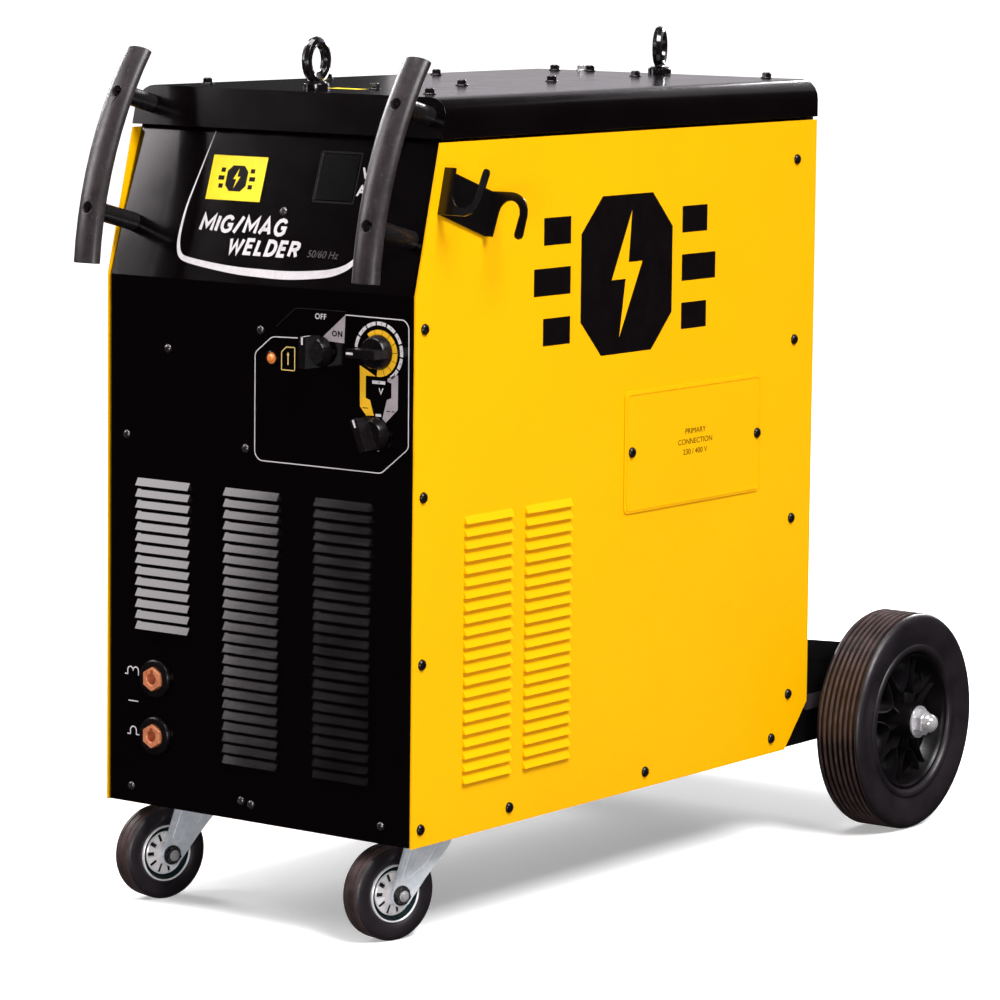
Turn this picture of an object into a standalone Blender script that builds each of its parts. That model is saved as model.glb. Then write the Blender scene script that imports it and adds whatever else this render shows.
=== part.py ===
"""Wheeled step-switched welding power source, modelled as an assembly of separate pieces.

Metres, +Z up. The front panel faces -Y, the right side panel faces +X, and the origin is on the
floor, under the middle of the machine's bounding box.
"""
import math

import bmesh
import bpy
from mathutils import Matrix, Vector

# ---------------------------------------------------------------- driving dimensions
FRONT = -0.4658            # Y of the front panel's face
HALF_W = 0.208             # outer face of a side panel
DEPTH = 0.750              # side panel length
BODY_LOW = 0.1085          # lower edge of the panels
SLOPE_LOW = 0.679          # where the front starts to lean back
PANEL_TOP = 0.834          # upper edge of the side panels
SLOPE_RUN = 0.0390         # how far the side panel's front edge leans back
ROOF_TOP = 0.8795
ROOF_LIP = 0.8375          # lower edge of the lid
SHEET = 0.0015             # folded panels
PLATE = 0.0020             # side panels and lid
GAP = 0.0003               # between pieces that touch

LEAN = math.atan2(SLOPE_RUN, PANEL_TOP - SLOPE_LOW)      # of the side panel's front edge
FACE_LEAN = math.radians(17.7)                          # of the sloped front panel
FRONT_HALF = 0.2055        # front panel, outside its folds
FRONT_TOP = 0.862
BEND = 0.0035

LOUVRE_TOP = 0.463
LOUVRE_PITCH = 0.0119
LOUVRE_WIDTH = 0.073
LOUVRE_COLUMNS = ((-0.128, 14), (-0.006, 25), (0.116, 25))
SIDE_LOUVRE_TOP = 0.446
SIDE_LOUVRE_PITCH = 0.0130
SIDE_LOUVRE_WIDTH = 0.083
SIDE_LOUVRE_COLUMNS = ((0.127, 22), (0.2335, 22))
HOOD_HEIGHT = 0.0085
HOOD_DEPTH = 0.0045
HOOD_WALL = 0.0011

SOCKET_X = -0.1376
SOCKET_HEIGHTS = {"upper": 0.2481, "lower": 0.1861}
LAMP = (0.0194, 0.6038)
KNOBS = {                  # name: (x, z, skirt radius, pointer angle from 12 o'clock, clockwise)
    "main_switch": (0.084, 0.615, 0.0165, 0.0),
    "coarse": (0.1607, 0.6194, 0.0185, -90.0),
    "fine": (0.158, 0.535, 0.0175, -22.0),
}
KNOB_REACH = 0.030
METER = (0.0765, 0.1195, 0.051, 0.051)    # x, distance up the slope, width, height

CASTER_R = 0.050
CASTER_WIDTH = 0.029
CASTER_TRAIL = 0.030
CASTER_PIVOT = (0.1568, 0.0674)         # x, distance behind the front panel
CASTER_TURN = math.radians(-16.0)

WHEEL_R = 0.127
WHEEL_INNER = 0.2230
WHEEL_OUTER = 0.2855
AXLE_DEPTH = 0.870
AXLE_R = 0.010
RIM_R = 0.0805

TRAY_HALF = 0.2037
TRAY_FLOOR = 0.130
TRAY_FRONT = 0.0046
CARRIER_FRONT = 0.690                   # where the base tray ends and the rear carrier starts
CARRIER_REAR = 0.985
REST_Z = 0.700                          # saddle that a gas cylinder leans against
CARRIER_FLOOR = 0.1425                  # top of its floor, above the axle
CHEEK = ((0.7490, 0.2315), (0.905, 0.2055), (0.9851, 0.172))    # its sides' upper edge

HANDLE_X = 0.1874
HANDLE_ARC_R = 0.4466                   # outer face of the bowed bar
HANDLE_APEX = (0.0731, 0.0735)          # distance up the slope, stand-off
HANDLE_SPAN = (-9.5, 22.0)              # degrees either side of the apex
HANDLE_WIDTH = 0.034
HANDLE_THICK = 0.0115
HANDLE_CROWN = 0.0095
ARM_R = 0.010
ARMS = {"upper": 0.1870, "lower": 0.0581}

EYE_BOLTS = {"front": (0.095, 82.0), "rear": (0.733, 65.0)}     # depth, turn of the ring
EYE_HEIGHT = 0.0305
EYE_RING_R = 0.0197
EYE_WIRE_R = 0.0058
EYE_SHANK_R = 0.006

COVER = (0.3725, 0.6395, 0.4170, 0.5510)   # right access cover: depth range, height range

FAN_CENTRE = (0.0, 0.42)                # x, z
FAN_R = 0.095

# ---------------------------------------------------------------- scene and materials
for leftover in list(bpy.data.objects):
    bpy.data.objects.remove(leftover, do_unlink=True)

PARTS = bpy.data.collections.new("welding_power_source")
CUTTERS = bpy.data.collections.new("cutters")
for collection in (PARTS, CUTTERS):
    bpy.context.scene.collection.children.link(collection)


def material(name, colour, roughness, metallic=0.0):
    made = bpy.data.materials.new(name)
    made.use_nodes = True
    shader = made.node_tree.nodes["Principled BSDF"]
    shader.inputs["Base Color"].default_value = (*colour, 1.0)
    shader.inputs["Roughness"].default_value = roughness
    shader.inputs["Metallic"].default_value = metallic
    return made


YELLOW = material("yellow_paint", (0.95, 0.52, 0.0), 0.35)
BLACK = material("black_paint", (0.012, 0.010, 0.012), 0.25)
GREY_BLACK = material("handle_paint", (0.06, 0.045, 0.045), 0.45)
ZINC = material("zinc", (0.62, 0.64, 0.68), 0.35, 1.0)
STEEL = material("steel", (0.50, 0.50, 0.52), 0.30, 1.0)
RUBBER = material("rubber", (0.025, 0.020, 0.020), 0.70)
PLASTIC = material("black_plastic", (0.015, 0.015, 0.017), 0.45)
COPPER = material("copper", (0.72, 0.33, 0.16), 0.30, 1.0)
AMBER = material("amber_lens", (0.95, 0.35, 0.05), 0.20)
GLASS = material("dark_window", (0.010, 0.008, 0.010), 0.08)
CORE = material("core_laminations", (0.22, 0.22, 0.24), 0.50, 0.6)
WINDING = material("winding", (0.45, 0.20, 0.08), 0.50)
ALUMINIUM = material("aluminium", (0.75, 0.75, 0.76), 0.40, 1.0)
BOARD = material("circuit_board", (0.03, 0.20, 0.08), 0.50)
BAKELITE = material("bakelite", (0.20, 0.09, 0.05), 0.50)


# ---------------------------------------------------------------- helpers
def at(x, depth, z):
    """A point from its distance behind the front panel."""
    return Vector((x, FRONT + depth, z))


def place(name, mesh, finish, location=(0, 0, 0), rotation=None, collection=None):
    made = bpy.data.objects.new(name, mesh)
    (collection or PARTS).objects.link(made)
    if rotation is not None:
        made.rotation_euler = rotation.to_euler()
    made.location = location
    if finish is not None:
        mesh.materials.append(finish)
    return made


def as_cutter(made):
    PARTS.objects.unlink(made)
    CUTTERS.objects.link(made)
    made.hide_render = True
    made.display_type = 'WIRE'
    return made


def finish_mesh(name, bm):
    bmesh.ops.recalc_face_normals(bm, faces=bm.faces)
    mesh = bpy.data.meshes.new(name)
    bm.to_mesh(mesh)
    bm.free()
    return mesh


def box(name, low, high, finish=None):
    """A box between two corners, with its origin at its middle."""
    low, high = Vector(low), Vector(high)
    bm = bmesh.new()
    bmesh.ops.create_cube(bm, size=1.0)
    bmesh.ops.scale(bm, vec=high - low, verts=bm.verts)
    return place(name, finish_mesh(name, bm), finish, (low + high) / 2)


def rod(name, start, end, radius, finish=None, segments=24, end_radius=None):
    """A cylinder or cone from start to end."""
    start, end = Vector(start), Vector(end)
    along = end - start
    bm = bmesh.new()
    bmesh.ops.create_cone(bm, cap_ends=True, segments=segments, radius1=radius,
                          radius2=radius if end_radius is None else end_radius, depth=along.length)
    made = place(name, finish_mesh(name, bm), finish, (start + end) / 2,
                 along.to_track_quat('Z', 'Y').to_matrix())
    shade(made)
    return made


def shade(made, angle=40.0):
    made.data.shade_smooth()
    made.data.set_sharp_from_angle(angle=math.radians(angle))


def turned(name, profile, finish, location, rotation=None, steps=24, closed=False):
    """A profile of (radius, height) points, outer side first and downwards, turned about Z."""
    bm = bmesh.new()
    points = [bm.verts.new((radius, 0.0, height)) for radius, height in profile]
    for first, second in zip(points, points[1:]):
        bm.edges.new((first, second))
    if closed:
        bm.edges.new((points[-1], points[0]))
    mesh = bpy.data.meshes.new(name)
    bm.to_mesh(mesh)
    bm.free()
    made = place(name, mesh, finish, location, rotation)
    screw = made.modifiers.new("turn", 'SCREW')
    screw.angle = math.tau
    screw.steps = screw.render_steps = steps
    screw.use_merge_vertices = True
    screw.merge_threshold = 0.0001
    screw.use_smooth_shade = True
    return made


def outline(name, rings, thickness, finish, matrix):
    """A flat outline (with holes after the first ring) filled and extruded about its plane."""
    curve = bpy.data.curves.new(name, 'CURVE')
    curve.dimensions = '2D'
    curve.fill_mode = 'BOTH'
    curve.extrude = thickness / 2
    for ring in rings:
        spline = curve.splines.new('POLY')
        spline.points.add(len(ring) - 1)
        for point, (u, v) in zip(spline.points, ring):
            point.co = (u, v, 0.0, 1.0)
        spline.use_cyclic_u = True
    drawn = bpy.data.objects.new(name + "_curve", curve)
    PARTS.objects.link(drawn)
    bpy.context.view_layer.update()
    evaluated = drawn.evaluated_get(bpy.context.evaluated_depsgraph_get())
    raw = bpy.data.meshes.new_from_object(evaluated)
    bpy.data.objects.remove(drawn, do_unlink=True)
    bm = bmesh.new()
    bm.from_mesh(raw)
    bpy.data.meshes.remove(raw)
    bmesh.ops.remove_doubles(bm, verts=bm.verts, dist=0.00002)
    made = place(name, finish_mesh(name, bm), finish)
    made.matrix_world = matrix
    return made


def boolean(target, tool, operation='DIFFERENCE'):
    modifier = target.modifiers.new(tool.name, 'BOOLEAN')
    modifier.operation = operation
    modifier.object = tool
    if tool.name not in CUTTERS.objects:
        as_cutter(tool)
    return target


def unite(target, *tools):
    for tool in tools:
        boolean(target, tool, 'UNION')
    return target


def cut(target, *tools):
    for tool in tools:
        boolean(target, tool)
    return target


def arc(centre, radius, start, end, steps):
    """Points of an arc in degrees, both ends included."""
    return [(centre[0] + radius * math.cos(math.radians(start + (end - start) * i / steps)),
             centre[1] + radius * math.sin(math.radians(start + (end - start) * i / steps)))
            for i in range(steps + 1)]


def rounded(low_u, low_v, high_u, high_v, radius, steps=3):
    corners = ((high_u - radius, high_v - radius, 0), (low_u + radius, high_v - radius, 90),
               (low_u + radius, low_v + radius, 180), (high_u - radius, low_v + radius, 270))
    points = []
    for u, v, start in corners:
        points += arc((u, v), radius, start, start + 90, steps)
    return points


def rectangle(low_u, low_v, high_u, high_v):
    return [(low_u, low_v), (high_u, low_v), (high_u, high_v), (low_u, high_v)]


def circle(u, v, radius, steps=16, turn=0.0):
    return arc((u, v), radius, turn, turn + 360 - 360 / steps, steps - 1)


# planes for outlines: columns are the plane's u, v and normal directions
def facing_front(depth):
    """u along +X, v along +Z."""
    return Matrix.Translation((0, FRONT + depth, 0)) @ Matrix.Rotation(math.pi / 2, 4, 'X')


def facing_side(x):
    """u along the depth, v along +Z."""
    turn = Matrix(((0, 0, 1, 0), (1, 0, 0, 0), (0, 1, 0, 0), (0, 0, 0, 1)))
    return Matrix.Translation((x, FRONT, 0)) @ turn


def facing_up(z):
    return Matrix.Translation((0, FRONT, z))


def slope_point(x, up, out, lean=LEAN):
    """A point on the leaning front: up along the slope, out from its surface."""
    depth = up * math.sin(lean) - out * math.cos(lean)
    return at(x, depth, SLOPE_LOW + up * math.cos(lean) + out * math.sin(lean))


TO_FRONT = Matrix.Rotation(math.pi / 2, 3, 'X')     # turns +Z to -Y
TO_RIGHT = Matrix.Rotation(math.pi / 2, 3, 'Y')     # turns +Z to +X
TO_LEFT = Matrix.Rotation(-math.pi / 2, 3, 'Y')


# ---------------------------------------------------------------- louvres
def wedge(bm, frame, across, low, width, height, depth, back, sharp):
    """A hood-shaped prism: full depth at its lower edge, tapering inwards to its upper edge."""
    made = bmesh.ops.create_cube(bm, size=1.0)["verts"]
    for vert in made:
        out = depth if vert.co.y > 0 else back
        if vert.co.y > 0 and vert.co.z > 0:
            out = sharp
        vert.co = frame @ Vector((across + vert.co.x * width, low + (vert.co.z + 0.5) * height, out))


def louvres(name, panel, frame, columns, top, pitch, width):
    """Pressed hoods, open downwards, in columns. frame takes (across, up, out) to the panel."""
    hoods, hollows = bmesh.new(), bmesh.new()
    slope = (HOOD_DEPTH + 0.0003) / HOOD_HEIGHT
    reach = 2.2 * SHEET
    hollow_height = (HOOD_DEPTH - HOOD_WALL + reach) / slope
    for across, count in columns:
        for row in range(count):
            low = top - HOOD_HEIGHT - row * pitch
            wedge(hoods, frame, across, low, width, HOOD_HEIGHT, HOOD_DEPTH, -0.0008, -0.0003)
            wedge(hollows, frame, across, low - 0.0004, width - 2 * HOOD_WALL, hollow_height,
                  HOOD_DEPTH - HOOD_WALL, -reach, 0.0001 - reach)
    unite(panel, place(name + "_hoods", finish_mesh(name + "_hoods", hoods), None))
    cut(panel, place(name + "_hollows", finish_mesh(name + "_hollows", hollows), None))


# ---------------------------------------------------------------- cabinet
def folded_panel(name, half, rows, fold, finish, facing):
    """A sheet with rounded vertical folds. rows are (depth, z) of its face, from the bottom up."""
    section = [(-half, fold), (-half, BEND), (-half + 0.3 * BEND, 0.3 * BEND), (-half + BEND, 0.0)]
    section += [(-u, v) for u, v in reversed(section)]
    bm = bmesh.new()
    depth, z = rows[0]
    base = [bm.verts.new(at(u, depth + facing * v, z)) for u, v in section]
    edges = [bm.edges.new(pair) for pair in zip(base, base[1:])]
    for (depth, z), (next_depth, next_z) in zip(rows, rows[1:]):
        made = bmesh.ops.extrude_edge_only(bm, edges=edges)["geom"]
        verts = [item for item in made if isinstance(item, bmesh.types.BMVert)]
        edges = [item for item in made if isinstance(item, bmesh.types.BMEdge)]
        bmesh.ops.translate(bm, vec=(0, next_depth - depth, next_z - z), verts=verts)
    middle = min(bm.faces, key=lambda face: abs(face.calc_center_median().x))
    middle.normal_update()
    if middle.normal.y * facing > 0:
        bmesh.ops.reverse_faces(bm, faces=bm.faces)
    mesh = bpy.data.meshes.new(name)
    bm.to_mesh(mesh)
    bm.free()
    panel = place(name, mesh, finish)
    thick = panel.modifiers.new("sheet", 'SOLIDIFY')
    thick.thickness = SHEET
    thick.offset = -1.0
    return panel


def front_panel():
    top_depth = (FRONT_TOP - SLOPE_LOW) * math.tan(FACE_LEAN)
    rows = [(0.0, BODY_LOW + 0.001), (0.0, SLOPE_LOW), (top_depth, FRONT_TOP)]
    panel = folded_panel("front_panel", FRONT_HALF, rows, 0.018, BLACK, 1)
    frame = Matrix(((1, 0, 0, 0), (0, 0, -1, FRONT), (0, 1, 0, 0), (0, 0, 0, 1)))
    louvres("front", panel, frame, LOUVRE_COLUMNS, LOUVRE_TOP, LOUVRE_PITCH, LOUVRE_WIDTH)
    for name, z in SOCKET_HEIGHTS.items():
        cut(panel, rod("socket_hole_" + name, at(SOCKET_X, -0.01, z), at(SOCKET_X, 0.01, z), 0.0167,
                       segments=20))
    for name, (x, z, _, _) in KNOBS.items():
        cut(panel, rod(name + "_hole", at(x, -0.01, z), at(x, 0.01, z), 0.0055, segments=10))
    cut(panel, rod("lamp_hole", at(LAMP[0], -0.01, LAMP[1]), at(LAMP[0], 0.01, LAMP[1]), 0.0047,
                   segments=10))
    x, up, width, height = METER
    opening = box("meter_opening", (-width / 2, -height / 2, -0.01), (width / 2, height / 2, 0.01))
    opening.matrix_world = slope_frame(x, up)
    return cut(panel, opening)


def slope_frame(x, up):
    """Axes of the sloped front panel: X across, Y up the slope, Z out of it."""
    turn = Matrix.Rotation(math.pi / 2 - FACE_LEAN, 4, 'X')
    return Matrix.Translation(slope_point(x, up, 0.0, FACE_LEAN)) @ turn


def side_outline():
    return [(0.0, BODY_LOW), (DEPTH - 0.046, BODY_LOW), (DEPTH, BODY_LOW + 0.0512),
            (DEPTH, PANEL_TOP), (SLOPE_RUN, PANEL_TOP), (0.0, SLOPE_LOW)]


def side_panel(name, side):
    holes = []
    if side > 0:
        low_u, high_u, low_v, high_v = COVER
        holes = [rectangle(low_u + 0.02, low_v + 0.02, high_u - 0.02, high_v - 0.02)]
    panel = outline(name, [side_outline()] + holes, PLATE, YELLOW,
                    facing_side(side * (HALF_W - PLATE / 2)))
    frame = Matrix(((0, 0, side, side * HALF_W), (1, 0, 0, FRONT), (0, 1, 0, 0), (0, 0, 0, 1)))
    louvres(name, panel, frame, SIDE_LOUVRE_COLUMNS, SIDE_LOUVRE_TOP, SIDE_LOUVRE_PITCH,
            SIDE_LOUVRE_WIDTH)
    return panel


def access_cover():
    low_u, high_u, low_v, high_v = COVER
    return outline("access_cover", [rounded(low_u, low_v, high_u, high_v, 0.006)], SHEET, YELLOW,
                   facing_side(HALF_W + GAP + SHEET / 2))


def rear_panel():
    outer = 0.7482
    rows = [(outer, BODY_LOW + 0.0525), (outer, FRONT_TOP)]
    panel = folded_panel("rear_panel", FRONT_HALF, rows, 0.015, BLACK, -1)
    x, z = FAN_CENTRE
    for ring, (inner, outside) in enumerate(((0.022, 0.044), (0.049, 0.070), (0.075, 0.097))):
        for sector in range(4):
            start = 90 * sector + 45 + 6 * (3 - ring)
            end = start + 90 - 12 * (3 - ring)
            edge = arc((x, z), outside, start, end, 6) + arc((x, z), inner, end, start, 4)
            cut(panel, outline(f"grille_{ring}_{sector}", [edge], 0.01, None, facing_front(outer)))
    cut(panel, rod("gland_hole", at(GLAND[0], 0.73, GLAND[1]), at(GLAND[0], 0.76, GLAND[1]),
                   0.0125, segments=16))
    return unite(panel, cylinder_rest(outer))


def cylinder_rest(face):
    """Saddle on the rear panel that a gas cylinder leans against, with its chain slots."""
    saddle = arc((0.0, face + 0.105), 0.080, 225, 315, 8)
    edge = [(-0.085, face - 0.001), (0.085, face - 0.001), (0.078, face + 0.046),
            (0.060, face + 0.048)] + list(reversed(saddle)) + [(-0.060, face + 0.048),
                                                               (-0.078, face + 0.046)]
    slots = [rectangle(x - 0.003, face + 0.022, x + 0.003, face + 0.038) for x in (-0.068, 0.068)]
    rest = outline("cylinder_rest", [edge] + slots, 0.003, None, facing_up(REST_Z))
    return unite(rest, box("rest_flange", at(-0.080, face - 0.0008, REST_Z - 0.001),
                           at(0.080, face + 0.0025, REST_Z + 0.020)))


GLAND = (-0.130, 0.285)


def mains_gland():
    """The inlet of the supply cable: a ribbed nut with a through bore, on the rear panel."""
    profile = [(0.0180, 0.0010), (0.0180, -0.0040), (0.0165, -0.0060), (0.0165, -0.0180),
               (0.0120, -0.0240), (0.0080, -0.0240), (0.0080, 0.0150), (0.0120, 0.0150),
               (0.0120, 0.0010)]
    top = 0.7482 + 0.0013
    profile = [(radius, -height) for radius, height in reversed(profile)]
    return turned("mains_gland", profile, PLASTIC, at(GLAND[0], top, GLAND[1]),
                  Matrix.Rotation(-math.pi / 2, 3, 'X'), 20, True)


def roof_section(half, top, low, radius):
    return ([(half, low)] + arc((half - radius, top - radius), radius, 0, 90, 5)
            + arc((-half + radius, top - radius), radius, 90, 180, 5) + [(-half, low)])


def roof_block(name, half, top, low, radius, start, end, finish):
    """The lid's section run from the leaning front to the rear."""
    made = outline(name, [roof_section(half, top, low, radius)], end - start, finish,
                   facing_front((start + end) / 2))
    for vert in made.data.vertices:
        if vert.co.z > 0:
            vert.co.z -= (vert.co.y - PANEL_TOP) * math.tan(LEAN) + SLOPE_RUN
    return made


def roof_cover():
    roof = roof_block("roof_cover", HALF_W + 0.001, ROOF_TOP, ROOF_LIP, 0.022, 0.0, DEPTH, BLACK)
    inside = roof_block("roof_inside", HALF_W - 0.001, ROOF_TOP - PLATE, ROOF_LIP - 0.01, 0.020,
                        PLATE, DEPTH - PLATE + GAP, None)
    cut(roof, inside)
    for name, (depth, _) in EYE_BOLTS.items():
        cut(roof, rod("eye_hole_" + name, at(0, depth, ROOF_TOP - 0.01),
                      at(0, depth, ROOF_TOP + 0.01), EYE_SHANK_R + GAP, segments=12))
    return roof


def lifting_rail():
    """The channel under the lid that carries both eye bolts."""
    top = ROOF_TOP - PLATE - GAP
    half, leg, wall = 0.080, 0.030, 0.003
    section = [(-half, top - leg), (-half + wall, top - leg), (-half + wall, top - wall),
               (half - wall, top - wall), (half - wall, top - leg), (half, top - leg), (half, top),
               (-half, top)]
    start, end = 0.075, 0.746
    rail = outline("lifting_rail", [section], end - start, ZINC, facing_front((start + end) / 2))
    for name, (depth, _) in EYE_BOLTS.items():
        cut(rail, rod("rail_hole_" + name, at(0, depth, top - 0.02), at(0, depth, top + 0.02),
                      EYE_SHANK_R + GAP, segments=12))
    return rail


def eye_bolt(name, depth, turn):
    base = ROOF_TOP + GAP
    profile = [(0.0, 0.0085), (0.0100, 0.0085), (0.0137, 0.0060), (0.0137, 0.0), (EYE_SHANK_R, 0.0),
               (EYE_SHANK_R, -0.024), (0.0, -0.024)]
    collar = turned("eye_bolt_" + name, profile, BLACK, at(0, depth, base), steps=16)
    bpy.ops.mesh.primitive_torus_add(major_radius=EYE_RING_R, minor_radius=EYE_WIRE_R,
                                     major_segments=20, minor_segments=8)
    ring = bpy.context.object
    for owner in list(ring.users_collection):
        owner.objects.unlink(ring)
    PARTS.objects.link(ring)
    ring.name = "eye_ring_" + name
    ring.rotation_euler = (math.pi / 2, 0, math.radians(-turn))
    ring.location = at(0, depth, base + EYE_HEIGHT)
    return unite(collar, ring)


def base_tray():
    """Inverted pan: a floor over the casters with its edges turned down."""
    low, high, wall = BODY_LOW + 0.002, TRAY_FLOOR + PLATE, PLATE
    tray = box("base_tray", at(-TRAY_HALF, TRAY_FRONT, low), at(TRAY_HALF, CARRIER_FRONT, high), BLACK)
    hollow = box("tray_hollow", at(-TRAY_HALF + wall, TRAY_FRONT + wall, low - 0.01),
                 at(TRAY_HALF - wall, CARRIER_FRONT - wall, TRAY_FLOOR))
    return cut(tray, hollow)


def cylinder_shelf():
    """Rear carrier for a gas cylinder: floor, sides that hold the axle, and a back lip."""
    wall, front, bottom = PLATE, CARRIER_FRONT + GAP, BODY_LOW + 0.001
    floor = CARRIER_FLOOR
    top = CHEEK[0][1]
    shelf = box("cylinder_shelf", at(-TRAY_HALF, front, bottom), at(TRAY_HALF, CARRIER_REAR, top),
                BLACK)
    above = box("shelf_above", at(-TRAY_HALF + wall, front - 0.01, floor),
                at(TRAY_HALF - wall, CARRIER_REAR - wall, top + 0.01))
    below = box("shelf_below", at(-TRAY_HALF + wall, front - 0.01, bottom - 0.01),
                at(TRAY_HALF - wall, CARRIER_REAR - wall, floor - wall))
    edge = [(front - 0.01, floor + 0.012), (CHEEK[0][0], floor + 0.012), *CHEEK,
            (CARRIER_REAR + 0.02, CHEEK[-1][1]), (CARRIER_REAR + 0.02, top + 0.02),
            (front - 0.01, top + 0.02)]
    outside = outline("shelf_outside", [edge], 2 * TRAY_HALF + 0.02, None, facing_side(0.0))
    bore = rod("shelf_axle_hole", at(-0.25, AXLE_DEPTH, WHEEL_R), at(0.25, AXLE_DEPTH, WHEEL_R),
               AXLE_R + GAP, segments=20)
    return cut(shelf, above, below, outside, bore)


def axle_block(name, side):
    """Welded block behind each side of the carrier, bored for the axle."""
    outer = TRAY_HALF - PLATE - GAP
    outer_x, inner_x = side * outer, side * (outer - 0.012)
    low_x, high_x = min(outer_x, inner_x), max(outer_x, inner_x)
    block = box(name, at(low_x, AXLE_DEPTH - 0.020, BODY_LOW + 0.002),
                at(high_x, AXLE_DEPTH + 0.020, CARRIER_FLOOR - PLATE - GAP), BLACK)
    bore = rod(name + "_bore", at(low_x - 0.01, AXLE_DEPTH, WHEEL_R),
               at(high_x + 0.01, AXLE_DEPTH, WHEEL_R), AXLE_R + GAP, segments=20)
    return cut(block, bore)


# ---------------------------------------------------------------- handles and hook
def handle_section(margin):
    """Flat-backed oval: (across, radius) points; margin grows it evenly."""
    half = HANDLE_WIDTH / 2 + margin
    back = HANDLE_ARC_R - HANDLE_THICK - margin
    points = [(-half, back), (half, back)]
    for step in range(9):
        angle = math.pi * step / 8
        points.append((half * math.cos(angle), HANDLE_ARC_R - HANDLE_CROWN
                       + (HANDLE_CROWN + margin) * math.sin(angle)))
    return points


def handle_bar_mesh(name, margin=0.0):
    """The section swept along the bow's arc, about an axis through the arc's centre."""
    bm = bmesh.new()
    start, end = (math.radians(angle) for angle in HANDLE_SPAN)
    ring = [bm.verts.new((across, 0.0, radius)) for across, radius in handle_section(margin)]
    face = bm.faces.new(ring)
    bmesh.ops.rotate(bm, cent=(0, 0, 0), matrix=Matrix.Rotation(-start, 3, 'X'), verts=bm.verts)
    bmesh.ops.spin(bm, geom=[face] + list(face.edges) + list(face.verts), cent=(0, 0, 0),
                   axis=(1, 0, 0), angle=-(end - start), steps=10, use_duplicate=False)
    bmesh.ops.remove_doubles(bm, verts=bm.verts, dist=0.00001)
    loose = [edge for edge in bm.edges if len(edge.link_faces) == 1]
    if loose:
        bmesh.ops.holes_fill(bm, edges=loose)
    return finish_mesh(name, bm)


def handle_frame(x):
    """Axes of a handle: X across, Y up the slope, Z out of it, from the arc's centre."""
    up, out = HANDLE_APEX
    origin = slope_point(x, up, out - HANDLE_ARC_R)
    return Matrix.Translation(origin) @ Matrix.Rotation(math.pi / 2 - LEAN, 4, 'X')


def handle_bar(side_name, side):
    name = "handle_bar_" + side_name
    bar = place(name, handle_bar_mesh(name), GREY_BLACK)
    bar.matrix_world = handle_frame(side * HANDLE_X)
    shade(bar)
    for arm_name, up in ARMS.items():
        x = side * HANDLE_X
        cut(bar, rod(f"{name}_{arm_name}_recess", slope_point(x, up, arm_reach(up) + 0.004),
                     slope_point(x, up, 0.100), 0.0060, segments=14))
    return bar


def arm_reach(up):
    """Stand-off of the bar's flat back, straight above a point of the slope."""
    centre_up, apex_out = HANDLE_APEX
    back = HANDLE_ARC_R - HANDLE_THICK
    return apex_out - HANDLE_ARC_R + math.sqrt(back ** 2 - (up - centre_up) ** 2)


def handle_arm(side_name, side, arm_name):
    """A round post between the front and the bar's back."""
    name = f"handle_arm_{side_name}_{arm_name}"
    up, x = ARMS[arm_name], side * HANDLE_X
    root = GAP if arm_name == "upper" else -0.012
    arm = rod(name, slope_point(x, up, root), slope_point(x, up, arm_reach(up) + 0.006), ARM_R,
              GREY_BLACK, segments=20)
    clearance = place(name + "_bar", handle_bar_mesh(name + "_bar", GAP), None)
    clearance.matrix_world = handle_frame(x)
    cut(arm, clearance)
    if arm_name == "lower":
        behind = box(name + "_panel", (-0.03, -0.2, -0.05), (0.03, 0.2, GAP))
        behind.matrix_world = slope_frame(x, 0.1) @ Matrix.Translation((0, 0, -0.025 + GAP / 2))
        cut(arm, behind)
    return arm


HOOK_FRONT = (0.0341, 0.7615)           # depth and height of the fork's lower corner
HOOK_REAR = (0.1140, 0.7345)            # and of the hook's
HOOK_WEB = 0.0475
HOOK_SHEET = 0.0025


def hook_plate(name, edge, corner, shift):
    """A plate that faces the front and leans like the panel's edge, on the right side panel."""
    frame = (Matrix.Translation(at(HALF_W + GAP, *corner)) @ Matrix.Rotation(-LEAN, 4, 'X')
             @ Matrix.Translation((0, shift, 0)) @ Matrix.Rotation(math.pi / 2, 4, 'X'))
    return outline(name, [[(u / 1000, v / 1000) for u, v in edge]], HOOK_SHEET, None, frame)


def cable_hook():
    """Folded bracket: an open fork in front, a web on the panel and a downward hook behind."""
    up, back = HOOK_WEB * math.cos(LEAN), HOOK_WEB * math.sin(LEAN)
    corners = [HOOK_FRONT, HOOK_REAR, (HOOK_REAR[0] + back, HOOK_REAR[1] + up),
               (HOOK_FRONT[0] + back, HOOK_FRONT[1] + up)]
    web = outline("cable_hook", [corners], HOOK_SHEET, BLACK,
                  facing_side(HALF_W + GAP + HOOK_SHEET / 2))
    notch = arc((29.5, 22.5), 15.0, 180, 360, 8)
    fork = ([(0, 0), (34, 0), (42, 3), (48.5, 10), (52, 20), (56.5, 44)]
            + arc((52.5, 46), 4.0, 0, 180, 4) + list(reversed(notch)) + [(13.5, 49), (0, 49)])
    arch = arc((28.5, 25), 14.0, 0, 180, 8)
    crown = arc((28.5, 25), 22.8, 0, 90, 6)
    tail = ([(0, 0), (11.5, 0)] + list(reversed(arch)) + [(39.5, 3.5)]
            + arc((44.8, 4), 5.2, 180, 360, 4)[1:] + crown + [(0, 47.5)])
    return unite(web, hook_plate("hook_fork", fork, HOOK_FRONT, HOOK_SHEET / 2),
                 hook_plate("hook_tail", tail, HOOK_REAR, -HOOK_SHEET / 2))


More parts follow.
